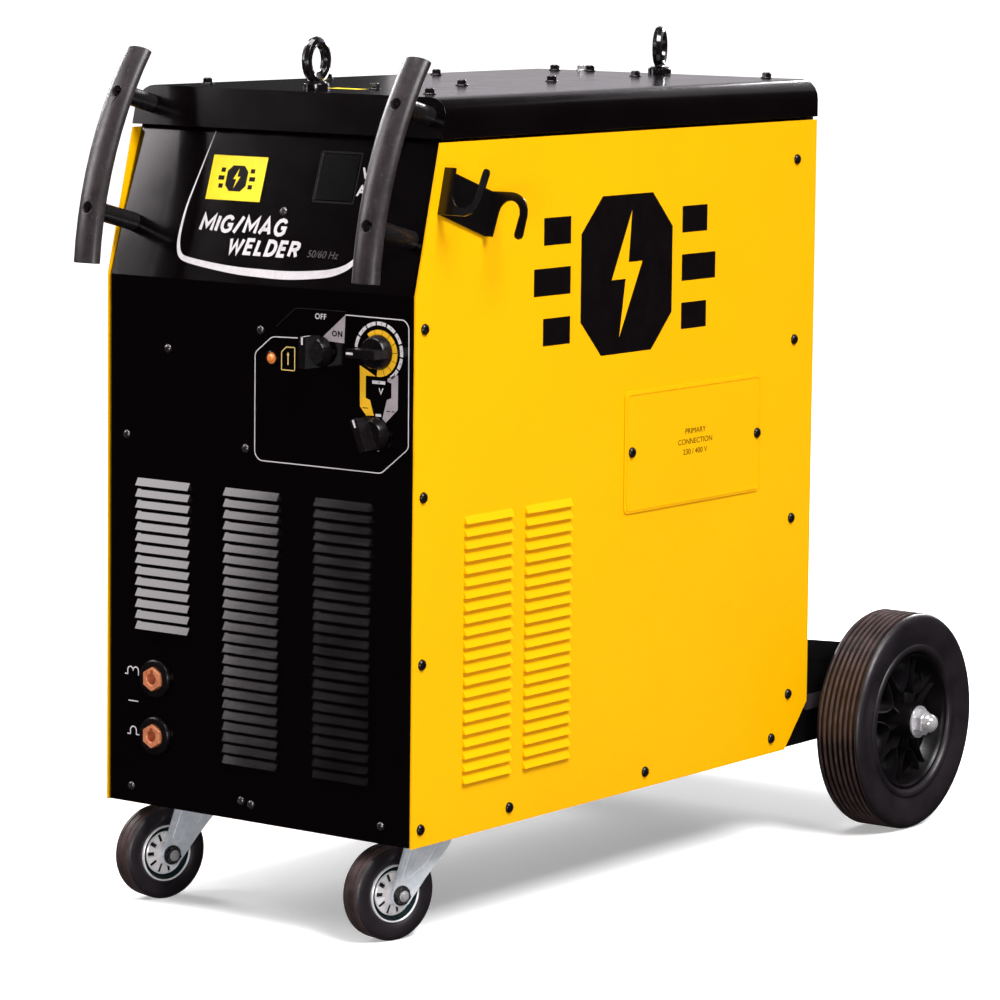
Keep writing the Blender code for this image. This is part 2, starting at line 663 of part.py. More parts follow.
# ---------------------------------------------------------------- front fittings
def output_socket(name, z):
    """Round insulated socket body with its neck through the panel."""
    profile = [(0.0135, 0.0063), (0.0175, 0.0063), (0.0205, 0.0040), (0.0205, GAP),
               (0.0163, GAP), (0.0163, -0.0150), (0.0135, -0.0150)]
    return turned("output_socket_" + name, profile, PLASTIC, at(SOCKET_X, 0.0, z), TO_FRONT, 20,
                  True)


def socket_contact(name, z):
    """Copper contact: hexagonal, bored for a bayonet plug, with the plug's key slot."""
    contact = rod("socket_contact_" + name, at(SOCKET_X, 0.030, z), at(SOCKET_X, -0.0090, z),
                  0.0130, COPPER, segments=6)
    bore = rod("contact_bore_" + name, at(SOCKET_X, 0.020, z), at(SOCKET_X, -0.02, z), 0.0063,
               segments=14)
    key = box("contact_key_" + name, at(SOCKET_X - 0.0022, -0.02, z),
              at(SOCKET_X + 0.0022, 0.012, z + 0.0092))
    return cut(contact, bore, key)


def pilot_lamp():
    profile = [(0.0, 0.0045), (0.0030, 0.0038), (0.0044, 0.0020), (0.0044, 0.0008), (0.0060, 0.0008),
               (0.0060, GAP), (0.0042, GAP), (0.0042, -0.0120), (0.0, -0.0120)]
    return turned("pilot_lamp", profile, AMBER, at(LAMP[0], 0.0, LAMP[1]), TO_FRONT, 16)


def digital_meter():
    """Panel meter behind the sloped front, with its dark window flush in the opening."""
    x, up, width, height = METER
    half_w, half_h = width / 2 - 0.0005, height / 2 - 0.0005
    meter = box("digital_meter", (-half_w, -half_h, -0.035), (half_w, half_h, 0.0006), GLASS)
    meter.matrix_world = slope_frame(x, up) @ Matrix.Translation((0, 0, (0.0006 - 0.035) / 2))
    ears = box("meter_ears", (-half_w - 0.008, -half_h - 0.003, -0.0048),
               (half_w + 0.008, half_h + 0.003, -SHEET - 2 * GAP))
    ears.matrix_world = (slope_frame(x, up)
                         @ Matrix.Translation((0, 0, (-0.0048 - SHEET - 2 * GAP) / 2)))
    return unite(meter, ears)


def knob(name):
    """Round skirt with a raised pointer bar, its shaft running back through the panel."""
    x, z, radius, angle = KNOBS[name]
    profile = [(0.0, 0.0120), (radius * 0.82, 0.0120), (radius * 0.90, 0.0095), (radius, 0.0020),
               (radius, 0.0008), (0.0030, 0.0008), (0.0030, -0.0260), (0.0, -0.0260)]
    turn = TO_FRONT @ Matrix.Rotation(math.radians(-angle), 3, 'Z')
    made = turned(name + "_knob", profile, PLASTIC, at(x, 0.0, z), turn, 20)
    bar = box(name + "_bar", (-0.0045, -radius * 0.95, 0.006), (0.0045, radius * 1.05, KNOB_REACH))
    bar.matrix_world = (Matrix.Translation(at(x, 0.0, z)) @ turn.to_4x4()
                        @ Matrix.Translation((0, radius * 0.05, (0.006 + KNOB_REACH) / 2)))
    return unite(made, bar)


def switch_body(name):
    """Rotary switch behind the panel, bored for its shaft."""
    x, z, _, _ = KNOBS[name]
    half, length = (0.026, 0.085) if name == "coarse" else (0.022, 0.060)
    low = SHEET + GAP
    body = box(name + "_body", at(x - half, low, z - half), at(x + half, low + length, z + half),
               BAKELITE)
    return cut(body, rod(name + "_shaft_bore", at(x, 0.0, z), at(x, 0.032, z), 0.0033, segments=12))


# ---------------------------------------------------------------- inside
SHELF_Z = 0.470


def component_shelf():
    """Mid shelf that carries the control gear, with its edges turned down."""
    low, high = SHELF_Z - 0.020, SHELF_Z
    shelf = box("component_shelf", at(-0.196, 0.1000, low), at(0.150, 0.640, high), ZINC)
    hollow = box("component_hollow", at(-0.194, 0.102, low - 0.01), at(0.148, 0.638, high - PLATE))
    return cut(shelf, hollow)


CORE_HALF = 0.150
CORE_LIMB = 0.050
CORE_LOW = TRAY_FLOOR + PLATE + GAP
CORE_HEIGHT = 0.250
CORE_DEPTHS = (0.150, 0.270)


def transformer_core():
    windows = []
    for side in (-1, 1):
        inner, outer = CORE_LIMB / 2, CORE_HALF - CORE_LIMB
        low, high = sorted((side * inner, side * outer))
        windows.append(rectangle(low, CORE_LOW + CORE_LIMB, high, CORE_LOW + CORE_HEIGHT - CORE_LIMB))
    edge = rectangle(-CORE_HALF, CORE_LOW, CORE_HALF, CORE_LOW + CORE_HEIGHT)
    start, end = CORE_DEPTHS
    return outline("transformer_core", [edge] + windows, end - start, CORE,
                   facing_front((start + end) / 2))


def coil(number):
    """One phase's winding around its limb."""
    centre = (number - 2) * (CORE_HALF - CORE_LIMB / 2)
    inner, build = 0.002, 0.033
    start, end = CORE_DEPTHS
    half = CORE_LIMB / 2
    bore = rectangle(centre - half - inner, start - inner, centre + half + inner, end + inner)
    edge = rounded(centre - half - build, start - build, centre + half + build, end + build, 0.018, 3)
    height = CORE_HEIGHT - 2 * CORE_LIMB - 0.008
    return outline(f"coil_{number}", [edge, bore], height, WINDING,
                   facing_up(CORE_LOW + CORE_HEIGHT / 2))


def output_choke():
    """Smoothing choke: laminated frame with its winding."""
    low = TRAY_FLOOR + PLATE + GAP
    frame = outline("output_choke", [rectangle(-0.175, low, -0.045, low + 0.150),
                                     rectangle(-0.147, low + 0.028, -0.073, low + 0.122)], 0.070,
                    CORE, facing_front(0.440))
    winding = box("choke_winding", at(-0.186, 0.388, low + 0.034), at(-0.136, 0.492, low + 0.116))
    return unite(frame, winding)


def rectifier_stack():
    """Finned heat sink that carries the rectifier diodes."""
    low = TRAY_FLOOR + PLATE + GAP
    left, right, fins, web = 0.020, 0.170, 7, 0.006
    pitch = (right - left - 0.003) / (fins - 1)
    points = [(right, 0.400), (right, 0.400 + web), (right, 0.460)]
    for fin in range(fins - 1):
        x = right - pitch * fin
        points += [(x - 0.003, 0.460), (x - 0.003, 0.400 + web), (x - pitch, 0.400 + web),
                   (x - pitch, 0.460)]
    points += [(left, 0.460), (left, 0.400)]
    return outline("rectifier_stack", [points], 0.140, ALUMINIUM, facing_up(low + 0.070))


def contactor():
    body = box("contactor", at(-0.170, 0.200, SHELF_Z + GAP), at(-0.090, 0.285, SHELF_Z + 0.085),
               BAKELITE)
    step = box("contactor_top", at(-0.158, 0.215, SHELF_Z + 0.080),
               at(-0.102, 0.270, SHELF_Z + 0.105))
    return unite(body, step)


def control_board():
    """Control electronics on an upright board."""
    board = box("control_board", at(-0.150, 0.420, SHELF_Z + GAP), at(0.060, 0.422, SHELF_Z + 0.170),
                BOARD)
    blocks = []
    for number, (x, z, w, h, d) in enumerate(((-0.12, 0.05, 0.03, 0.03, 0.022),
                                              (-0.06, 0.10, 0.04, 0.02, 0.014),
                                              (0.01, 0.06, 0.035, 0.045, 0.018))):
        blocks.append(box(f"board_block_{number}", at(x, 0.421 - d, SHELF_Z + z),
                          at(x + w, 0.421, SHELF_Z + z + h)))
    return unite(board, *blocks)


def terminal_board():
    """Supply-voltage change-over terminals, facing the access cover."""
    low_u, high_u, low_v, high_v = COVER
    board = box("terminal_board", at(0.170, low_u + 0.030, low_v + 0.020),
                at(0.176, high_u - 0.030, high_v - 0.020), BAKELITE)
    studs = []
    for row in range(2):
        for column in range(6):
            depth = low_u + 0.048 + column * 0.0342
            z = low_v + 0.045 + row * 0.044
            studs.append(rod(f"stud_{row}_{column}", at(0.172, depth, z), at(0.190, depth, z), 0.004,
                             segments=6))
    return unite(board, *studs)


def fan_motor():
    """Motor on a four-armed bracket behind the rear grille."""
    x, z = FAN_CENTRE
    motor = rod("fan_motor", at(x, 0.655, z), at(x, 0.705, z), 0.035, STEEL, segments=20)
    rear = 0.7482 - SHEET - GAP
    pieces = [rod("motor_shaft", at(x, 0.700, z), at(x, 0.7255, z), 0.0030, segments=10)]
    for number, angle in enumerate((45, 135, 225, 315)):
        turn = math.radians(angle)
        across, up = math.cos(turn), math.sin(turn)
        end_x, end_z = x + 0.125 * across, z + 0.125 * up
        pieces.append(rod(f"motor_arm_{number}", at(x + 0.02 * across, 0.668, z + 0.02 * up),
                          at(end_x, 0.668, end_z), 0.0040, segments=8))
        pieces.append(rod(f"motor_post_{number}", at(end_x, 0.664, end_z), at(end_x, rear, end_z),
                          0.0045, segments=8))
    return unite(motor, *pieces)


def fan_blades():
    x, z = FAN_CENTRE
    hub = turned("fan_blades", [(0.0200, 0.0100), (0.0200, -0.0100), (0.0033, -0.0100),
                                (0.0033, 0.0100)], PLASTIC, at(x, 0.7175, z), TO_FRONT, 20, True)
    for number in range(5):
        blade = box(f"blade_{number}", (-0.0245, 0.014, -0.0008), (0.0245, FAN_R, 0.0008))
        turn = Matrix.Rotation(math.radians(72 * number), 4, 'Z')
        blade.matrix_world = (Matrix.Translation(at(x, 0.7175, z)) @ TO_FRONT.to_4x4() @ turn
                              @ Matrix.Translation((0, (0.014 + FAN_R) / 2, 0))
                              @ Matrix.Rotation(math.radians(20), 4, 'Y'))
        boolean(hub, blade, 'UNION')
    return hub


# ---------------------------------------------------------------- wheels
def pivot(name, x, depth, z, turn=0.0):
    made = bpy.data.objects.new(name, None)
    PARTS.objects.link(made)
    made.location = at(x, depth, z)
    made.rotation_euler = (0, 0, turn)
    return made


def attach(child, parent):
    """Parent, keeping the child's own location and rotation as its place in the parent."""
    child.parent = parent
    return child


def caster(side_name, side):
    """Swivel caster: fixed top plate, fork with its bolt, rim and tyre."""
    x, depth = CASTER_PIVOT
    swivel = pivot("caster_pivot_" + side_name, side * x, depth, 0.0, CASTER_TURN)
    caster_plate(side_name, side)
    pieces = [caster_fork(side_name), caster_rim(side_name), caster_tyre(side_name)]
    for piece in pieces:
        attach(piece, swivel)
    for tool in list(CUTTERS.objects):
        if tool.name.startswith("fork_") and tool.name.endswith(side_name):
            attach(tool, swivel)


PLATE_LOW = TRAY_FLOOR - GAP - 0.0025
CROWN_TOP = 0.1190


def caster_plate(side_name, side):
    x, depth = CASTER_PIVOT
    plate = box("caster_plate_" + side_name, at(side * x - 0.038, depth - 0.030, PLATE_LOW),
                at(side * x + 0.038, depth + 0.030, TRAY_FLOOR - GAP), ZINC)
    return unite(plate, rod("plate_race_" + side_name, at(side * x, depth, CROWN_TOP + GAP),
                            at(side * x, depth, PLATE_LOW + 0.001), 0.021, segments=24,
                            end_radius=0.026))


def caster_fork(side_name):
    """Pressed fork: race, crown, two tapering legs and the wheel bolt."""
    fork = rod("caster_fork_" + side_name, (0, 0, 0.1065), (0, 0, CROWN_TOP), 0.025, ZINC,
               segments=24, end_radius=0.022)
    inside, sheet = 0.0205, 0.0025
    tools = [box("fork_crown_" + side_name, (-inside - sheet, -0.022, 0.1045),
                 (inside + sheet, 0.024, 0.1075))]
    leg = ([(0.024, 0.1075), (-0.022, 0.1075)]
           + arc((-CASTER_TRAIL, CASTER_R), 0.0125, 180, 320, 6))
    for number, x in enumerate((-inside - sheet / 2, inside + sheet / 2)):
        turn = Matrix(((0, 0, 1, x), (1, 0, 0, 0), (0, 1, 0, 0), (0, 0, 0, 1)))
        tools.append(outline(f"fork_leg_{number}_{side_name}", [leg], sheet, None, turn))
    centre = (0.0, -CASTER_TRAIL, CASTER_R)
    tools.append(rod("fork_bolt_" + side_name, (-0.029, *centre[1:]), (0.029, *centre[1:]), 0.0045,
                     segments=12))
    tools.append(rod("fork_head_" + side_name, (-0.0285, *centre[1:]), (-0.0228, *centre[1:]),
                     0.0080, segments=6))
    tools.append(rod("fork_nut_" + side_name, (0.0228, *centre[1:]), (0.0285, *centre[1:]), 0.0080,
                     segments=6))
    return unite(fork, *tools)


def caster_rim(side_name):
    profile = [(0.0105, 0.0185), (0.0105, 0.0080), (0.0290, 0.0060), (0.0300, 0.0120),
               (0.0352, 0.0125)]
    profile = profile + [(radius, -height) for radius, height in reversed(profile)]
    profile = profile + [(0.0051, -0.0185), (0.0051, 0.0185)]
    return turned("caster_rim_" + side_name, profile, ZINC, (0, -CASTER_TRAIL, CASTER_R), TO_RIGHT,
                  24, True)


def tyre_profile(outer, inner, half, shoulder, tuck):
    """Closed section of a solid tyre, symmetrical about the wheel's middle."""
    side = [(inner, half - tuck), (inner + 0.3 * (outer - inner), half),
            (outer - 2.2 * shoulder, half), (outer - 0.7 * shoulder, half - 0.35 * shoulder),
            (outer, half - 1.2 * shoulder)]
    return side + [(radius, -height) for radius, height in reversed(side)]


def caster_tyre(side_name):
    profile = tyre_profile(CASTER_R, 0.0355, CASTER_WIDTH / 2, 0.0035, 0.0015)
    return turned("caster_tyre_" + side_name, profile, RUBBER, (0, -CASTER_TRAIL, CASTER_R),
                  TO_RIGHT, 32, True)


def wheel_turn(side):
    return TO_RIGHT if side > 0 else TO_LEFT


def rear_wheel(side_name, side):
    """Solid tyre on a deep moulded rim, held by a washer and a domed nut."""
    hub = pivot("rear_hub_" + side_name, side * (WHEEL_INNER + WHEEL_OUTER) / 2, AXLE_DEPTH, WHEEL_R)
    half = (WHEEL_OUTER - WHEEL_INNER) / 2
    tyre = turned("rear_tyre_" + side_name,
                  tyre_profile(WHEEL_R, RIM_R + GAP, half, 0.0070, 0.0085), RUBBER, (0, 0, 0),
                  wheel_turn(side), 40, True)
    rim = [(0.0240, half + 0.0012), (0.0255, half - 0.004), (0.0255, 0.0035), (0.0660, 0.0035),
           (0.0735, half - 0.012), (0.0760, half - 0.0085), (RIM_R, half - 0.0085),
           (RIM_R, -half + 0.0085), (0.0760, -half + 0.0085), (0.0735, -half + 0.012),
           (0.0660, -0.0035), (0.0255, -0.0035), (0.0255, -half + 0.004), (0.0240, -half - 0.0012),
           (AXLE_R + GAP, -half - 0.0012), (AXLE_R + GAP, half + 0.0012)]
    hub_piece = turned("rear_rim_" + side_name, rim, PLASTIC, (0, 0, 0), wheel_turn(side), 32, True)
    attach(tyre, hub)
    attach(hub_piece, hub)


def rear_axle():
    """Round axle with a spacer each side between the shelf and the wheel hub."""
    end = WHEEL_OUTER + 0.0150
    axle = rod("rear_axle", at(-end, AXLE_DEPTH, WHEEL_R), at(end, AXLE_DEPTH, WHEEL_R), AXLE_R, ZINC,
               segments=20)
    spacers = []
    for side in (-1, 1):
        spacers.append(rod(f"axle_spacer_{side + 1}", at(side * (TRAY_HALF + GAP), AXLE_DEPTH, WHEEL_R),
                           at(side * (WHEEL_INNER - 0.0012 - GAP), AXLE_DEPTH, WHEEL_R), 0.0150,
                           segments=20))
    return unite(axle, *spacers)


def wheel_nut(side_name, side):
    """Washer and domed nut on the axle's end."""
    start = WHEEL_OUTER + 0.0012 + GAP
    washer = rod("wheel_nut_" + side_name, at(side * start, AXLE_DEPTH, WHEEL_R),
                 at(side * (start + 0.0022), AXLE_DEPTH, WHEEL_R), 0.0190, STEEL, segments=24)
    hexagon = rod("nut_hex_" + side_name, at(side * (start + 0.0020), AXLE_DEPTH, WHEEL_R),
                  at(side * (start + 0.0110), AXLE_DEPTH, WHEEL_R), 0.0150, segments=6)
    dome = [(0.0, 0.0122), (0.0045, 0.0114), (0.0082, 0.0090), (0.0106, 0.0052), (0.0115, 0.0),
            (0.0115, -0.0040), (0.0, -0.0040)]
    cap = turned("nut_dome_" + side_name, dome, None, at(side * (start + 0.0130), AXLE_DEPTH, WHEEL_R),
                 wheel_turn(side), 20)
    bore = rod("nut_bore_" + side_name, at(side * (start - 0.01), AXLE_DEPTH, WHEEL_R),
               at(side * (WHEEL_OUTER + 0.0150 + GAP), AXLE_DEPTH, WHEEL_R), AXLE_R + GAP,
               segments=20)
    return cut(unite(washer, hexagon, cap), bore)


# ---------------------------------------------------------------- assembly
SIDES = (("right", 1), ("left", -1))


def build():
    base_tray()
    front_panel()
    for side_name, side in SIDES:
        side_panel("side_panel_" + side_name, side)
    rear_panel()
    roof_cover()
    access_cover()
    lifting_rail()
    for name, (depth, turn) in EYE_BOLTS.items():
        eye_bolt(name, depth, turn)
    cylinder_shelf()
    mains_gland()
    cable_hook()
    for side_name, side in SIDES:
        axle_block("axle_block_" + side_name, side)
        handle_bar(side_name, side)
        for arm_name in ARMS:
            handle_arm(side_name, side, arm_name)
    for name, z in SOCKET_HEIGHTS.items():
        output_socket(name, z)
        socket_contact(name, z)
    pilot_lamp()
    digital_meter()
    for name in KNOBS:
        knob(name)
        switch_body(name)
    component_shelf()
    transformer_core()
    for number in (1, 2, 3):
        coil(number)
    output_choke()
    rectifier_stack()
    contactor()
    control_board()
    terminal_board()
    fan_motor()
    fan_blades()
    rear_axle()
    for side_name, side in SIDES:
        caster(side_name, side)
        rear_wheel(side_name, side)
        wheel_nut(side_name, side)


build()
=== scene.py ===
"""Looks of a wheeled step-switched welding power source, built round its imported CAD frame.

Metres, +Z up. The front panel faces -Y, the right side faces +X, the floor is at Z = 0.
Print, screws, treads, ribs, wheel discs, fork cheeks and the ground are made here; everything
else is the CAD's.
"""
import math
import random

import bmesh
import bpy
from mathutils import Matrix, Vector


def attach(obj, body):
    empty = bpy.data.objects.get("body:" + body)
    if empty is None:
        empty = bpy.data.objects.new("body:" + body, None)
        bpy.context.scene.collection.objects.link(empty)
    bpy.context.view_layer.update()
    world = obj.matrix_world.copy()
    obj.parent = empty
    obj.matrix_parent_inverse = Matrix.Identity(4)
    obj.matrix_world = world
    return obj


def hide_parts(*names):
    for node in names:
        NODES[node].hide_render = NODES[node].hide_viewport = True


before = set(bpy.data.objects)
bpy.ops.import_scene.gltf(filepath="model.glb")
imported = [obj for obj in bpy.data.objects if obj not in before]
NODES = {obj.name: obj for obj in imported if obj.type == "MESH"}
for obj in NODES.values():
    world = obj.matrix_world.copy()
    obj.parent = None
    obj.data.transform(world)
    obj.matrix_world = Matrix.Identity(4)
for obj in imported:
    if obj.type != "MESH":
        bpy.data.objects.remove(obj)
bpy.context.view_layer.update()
random.seed(7)

# ---------------------------------------------------------------- sizes shared with the CAD
FRONT = -0.4658            # the front panel's outer face
REAR_FACE = FRONT + 0.7482
HALF_W = 0.208             # middle to the outer face of a side panel
SLOPE_LOW = 0.679          # where the front begins to lean back
ROOF_TOP = 0.8795
FACE_LEAN = math.radians(17.7)
COVER = (0.3725, 0.6395, 0.4170, 0.5510)    # access cover: depths, then heights
COVER_FACE = 0.0018        # the cover's outer face, out from the side panel
CHEEK_FACE = 0.2037        # the carrier's outer cheeks, out from the middle
WHEEL_R = 0.127
WHEEL_MIDDLE = 0.25425     # of a rear wheel's width, from the middle of the machine
WHEEL_HALF = 0.03125
AXLE_DEPTH = 0.870
CASTER_R = 0.050
CASTER_TRAIL = 0.030
CASTER_PIVOT = (0.1568, 0.0674)             # x, depth
CASTER_TURN = math.radians(-16.0)
CASTER_HALF = 0.0145       # half the width of a caster's wheel
KNOBS = {                  # x, height, radius, angle its pointer is turned by, body
    "main_switch": (0.084, 0.615, 0.0165, 0.0, "main_switch"),
    "coarse": (0.1607, 0.6194, 0.0185, -90.0, "coarse_selector"),
    "fine": (0.158, 0.535, 0.0175, -22.0, "fine_selector")}
KNOB_NOSE = 0.0299         # end face of a knob, out from the front panel
LEAN = math.atan2(0.039, 0.155)             # of the handle bars
HANDLE_X = 0.1874
ARMS = (0.1870, 0.0581)    # handle posts, up the slope
ARC_R = 0.4466             # bow of the handle bars
ARC_THICK = 0.0115
APEX = (0.0731, 0.0735)    # furthest point of the bow: up, out
CABINET = "cabinet"
SIDES = (("right", 1), ("left", -1))        # name, direction along X

# ---------------------------------------------------------------- sizes of print and light
PRINT = 0.00012            # thickness of printed film and ink
OVERPRINT = 0.0002         # of ink that lies on other ink
INK_LIFT = 0.00002
FLOOR_NEAR = 0.34          # glow of the floor under the machine, as the camera sees it
BACK_WHITE = 1.2           # surroundings as the camera sees them
AMBIENT = 0.14             # their diffuse light
GLOSS_DARK = 0.02          # their reflection, away from the card behind and towards it
GLOSS_CARD = 0.05


def at(x, depth, z):
    """A point from its distance behind the front panel."""
    return Vector((x, FRONT + depth, z))


def on_front(x=0.0, z=0.0):
    """Axes on the front panel: X across, Y up, Z out, towards the viewer in front."""
    return Matrix.Translation(at(x, 0.0, z)) @ Matrix.Rotation(math.pi / 2, 4, 'X')


def on_slope(x=0.0, up=0.0):
    """Axes on the leaning part of the front: X across, Y up the slope, Z out."""
    place = at(x, up * math.sin(FACE_LEAN), SLOPE_LOW + up * math.cos(FACE_LEAN))
    return Matrix.Translation(place) @ Matrix.Rotation(math.pi / 2 - FACE_LEAN, 4, 'X')


def on_side(depth=0.0, z=0.0, side=1, out=HALF_W):
    """Axes on a side panel: X towards the rear (right) or the front (left), Y up, Z out."""
    return Matrix(((0, 0, side, side * out), (side, 0, 0, FRONT + depth), (0, 1, 0, z),
                   (0, 0, 0, 1)))


def on_cover(depth=0.0, z=0.0):
    """Axes on the access cover's outer face."""
    return on_side(depth, z, 1, HALF_W + COVER_FACE)


def on_roof(x=0.0, depth=0.0):
    """Axes on the lid's flat top: X across, Y to the rear, Z up."""
    return Matrix.Translation(at(x, depth, ROOF_TOP))


def on_rear(x=0.0, z=0.0):
    """Axes on the rear panel: X to the left side, Y up, Z out."""
    return Matrix(((-1, 0, 0, x), (0, 0, 1, REAR_FACE), (0, 1, 0, z), (0, 0, 0, 1)))


def both_ways(place):
    """The axes as they are, then turned over: for the outer and the inner face of a wheel."""
    return enumerate((place, place @ Matrix.Rotation(math.pi, 4, 'X')), 1)


# ---------------------------------------------------------------- materials
def feed(tree, shader, inputs):
    """Sets each input to a value, or links it to the socket given instead."""
    for key, value in inputs.items():
        if isinstance(value, bpy.types.NodeSocket):
            tree.links.new(value, shader.inputs[key])
        else:
            shader.inputs[key].default_value = value


def add_node(tree, kind, inputs, **settings):
    """A shader node with its inputs fed; gives its outputs."""
    made = tree.nodes.new(kind)
    for key, value in settings.items():
        setattr(made, key, value)
    feed(tree, made, inputs)
    return made.outputs


def new_material(name):
    made = bpy.data.materials.new(name)
    made.use_nodes = True
    return made, made.node_tree, made.node_tree.nodes["Principled BSDF"]


def noise(tree, where, scale, detail=4.0, rough=0.55):
    return add_node(tree, "ShaderNodeTexNoise", {"Vector": where, "Scale": scale, "Detail": detail,
                                                 "Roughness": rough})["Fac"]


def ranged(tree, value, low, high, start=0.3, end=0.7):
    return add_node(tree, "ShaderNodeMapRange", {"Value": value, "From Min": start, "From Max": end,
                                                 "To Min": low, "To Max": high})["Result"]


def mixed(tree, factor, first, second):
    """Colour between two colours or sockets."""
    ends = [tone if isinstance(tone, bpy.types.NodeSocket) else (*tone, 1.0)
            for tone in (first, second)]
    return add_node(tree, "ShaderNodeMix", {0: factor, 6: ends[0], 7: ends[1]},
                    data_type='RGBA')[2]


def math_node(tree, operation, *values):
    return add_node(tree, "ShaderNodeMath", dict(enumerate(values)), operation=operation)[0]


def finish(name, light, dark, rough, metal=0.0, blotch=18.0, grain=900.0, bump=0.00003,
           specular=0.5, coat=0.0, coat_rough=0.1, stretch=None, extra=None):
    """A procedural finish: blotches between two near colours, uneven gloss and a fine relief."""
    made, tree, shader = new_material(name)
    where = add_node(tree, "ShaderNodeTexCoord", {})["Object"]
    if stretch:
        where = add_node(tree, "ShaderNodeMapping", {"Vector": where, "Scale": stretch})["Vector"]
    fine = noise(tree, where, grain, 3.0)
    colour = mixed(tree, ranged(tree, noise(tree, where, blotch), 0.0, 1.0), light, dark)
    if extra:
        colour = extra(tree, where, colour)
    low, high = rough
    uneven = ranged(tree, noise(tree, where, blotch * 3.1), low, (low + high) / 2)
    gloss = math_node(tree, 'ADD', uneven, ranged(tree, fine, 0.0, (high - low) / 2))
    relief = add_node(tree, "ShaderNodeBump", {"Strength": 1.0, "Distance": bump, "Height": fine})
    feed(tree, shader, {"Base Color": colour, "Roughness": gloss, "Normal": relief["Normal"],
                        "Metallic": metal, "Specular IOR Level": specular,
                        "Coat Weight": coat, "Coat Roughness": coat_rough})
    return made


def spangle(tree, where, colour):
    """Crystal patches of a zinc coating."""
    cells = add_node(tree, "ShaderNodeTexVoronoi", {"Vector": where, "Scale": 210.0})["Color"]
    grey = add_node(tree, "ShaderNodeSeparateColor", {0: cells})[0]
    return mixed(tree, ranged(tree, grey, 0.0, 0.55, 0.0, 1.0), colour, (0.66, 0.70, 0.77))


def striped(axis, pitch, line):
    """Fine parallel lines across one axis, such as laminations or turns of wire."""
    def add(tree, where, colour):
        along = add_node(tree, "ShaderNodeSeparateXYZ", {0: where})[axis]
        wave = math_node(tree, 'SINE', math_node(tree, 'MULTIPLY', along, math.tau / pitch))
        return mixed(tree, ranged(tree, wave, 0.0, 1.0, 0.2, 0.9), colour, line)
    return add


def speckled(tone, scale, start, end):
    """Sparse specks or scuffs of another tone."""
    def add(tree, where, colour):
        specks = ranged(tree, noise(tree, where, scale, 6.0, 0.7), 0.0, 1.0, start, end)
        return mixed(tree, specks, colour, tone)
    return add


def printing(name, light, dark, rough=(0.40, 0.55), blotch=160.0, grain=1800.0, specular=0.3):
    """A matt printing ink."""
    return finish(name, light, dark, rough, blotch=blotch, grain=grain, bump=0.00001,
                  specular=specular)


def glass(name, colour, rough, glow=0.0, through=0.0):
    """A clear or tinted lens with faint streaks in its gloss."""
    made = finish(name, colour, tuple(0.8 * c for c in colour), rough, blotch=90.0, grain=300.0,
                  bump=0.000008, specular=0.6, coat=1.0, coat_rough=0.03)
    feed(made.node_tree, made.node_tree.nodes["Principled BSDF"],
         {"Transmission Weight": through, "Emission Color": (*colour, 1.0),
          "Emission Strength": glow})
    return made


YELLOW = finish("yellow_powder_coat", (1.0, 0.488, 0.0), (0.98, 0.465, 0.0), (0.34, 0.44),
                blotch=6.0, grain=520.0, bump=0.00002, specular=0.12)
FRONT_BLACK = finish("black_gloss_coat", (0.0012, 0.0005, 0.0007), (0.0020, 0.0010, 0.0013),
                     (0.09, 0.15), blotch=7.0, grain=420.0, bump=0.000006, specular=0.45)
LID_BLACK = finish("black_lid_coat", (0.0018, 0.0010, 0.0013), (0.0030, 0.0019, 0.0023),
                   (0.12, 0.20), blotch=9.0, grain=520.0, bump=0.000006, specular=0.28)
CHASSIS = finish("black_chassis_coat", (0.0022, 0.0018, 0.0022), (0.0036, 0.0030, 0.0034),
                 (0.26, 0.40), blotch=14.0, grain=620.0, bump=0.000015)
BRACKET = finish("black_bracket_coat", (0.0024, 0.0018, 0.0022), (0.0040, 0.0030, 0.0034),
                 (0.16, 0.28), blotch=30.0, grain=700.0, bump=0.000008)
HANDLE = finish("handle_coat", (0.034, 0.025, 0.027), (0.013, 0.009, 0.010), (0.30, 0.46),
                blotch=46.0, grain=1100.0,
                extra=speckled((0.085, 0.072, 0.074), 260.0, 0.56, 0.76))
ARM_PAINT = finish("arm_coat", (0.012, 0.010, 0.011), (0.007, 0.006, 0.007), (0.22, 0.36),
                   blotch=40.0)
CAST_BLACK = finish("forged_black", (0.004, 0.003, 0.004), (0.007, 0.005, 0.006), (0.12, 0.26),
                    blotch=60.0, grain=500.0, coat=0.5, coat_rough=0.08)
SCREW_BLACK = finish("black_oxide_screw", (0.006, 0.004, 0.005), (0.012, 0.009, 0.010),
                     (0.18, 0.36), metal=0.2, blotch=160.0, grain=1500.0)
SCREW_DARK = finish("dark_nickel_screw", (0.20, 0.18, 0.19), (0.10, 0.09, 0.10), (0.20, 0.34),
                    metal=0.85, blotch=160.0, grain=1500.0)
ZINC = finish("zinc_plate", (0.93, 0.96, 1.0), (0.73, 0.77, 0.84), (0.26, 0.42), metal=0.22,
              blotch=70.0, grain=800.0, extra=spangle)
DISC_ZINC = finish("bright_zinc_disc", (1.0, 0.97, 0.99), (0.86, 0.82, 0.84), (0.16, 0.30),
                   metal=0.10, blotch=110.0)
CHROME = finish("bright_nut", (0.88, 0.86, 0.89), (0.74, 0.72, 0.75), (0.10, 0.16), metal=0.62,
                blotch=40.0, grain=700.0, bump=0.000004)
RUBBER_SIDE = finish("moulded_rubber", (0.0190, 0.0140, 0.0180), (0.0070, 0.0048, 0.0068),
                     (0.36, 0.50), blotch=22.0, grain=420.0, bump=0.00002, specular=0.55)
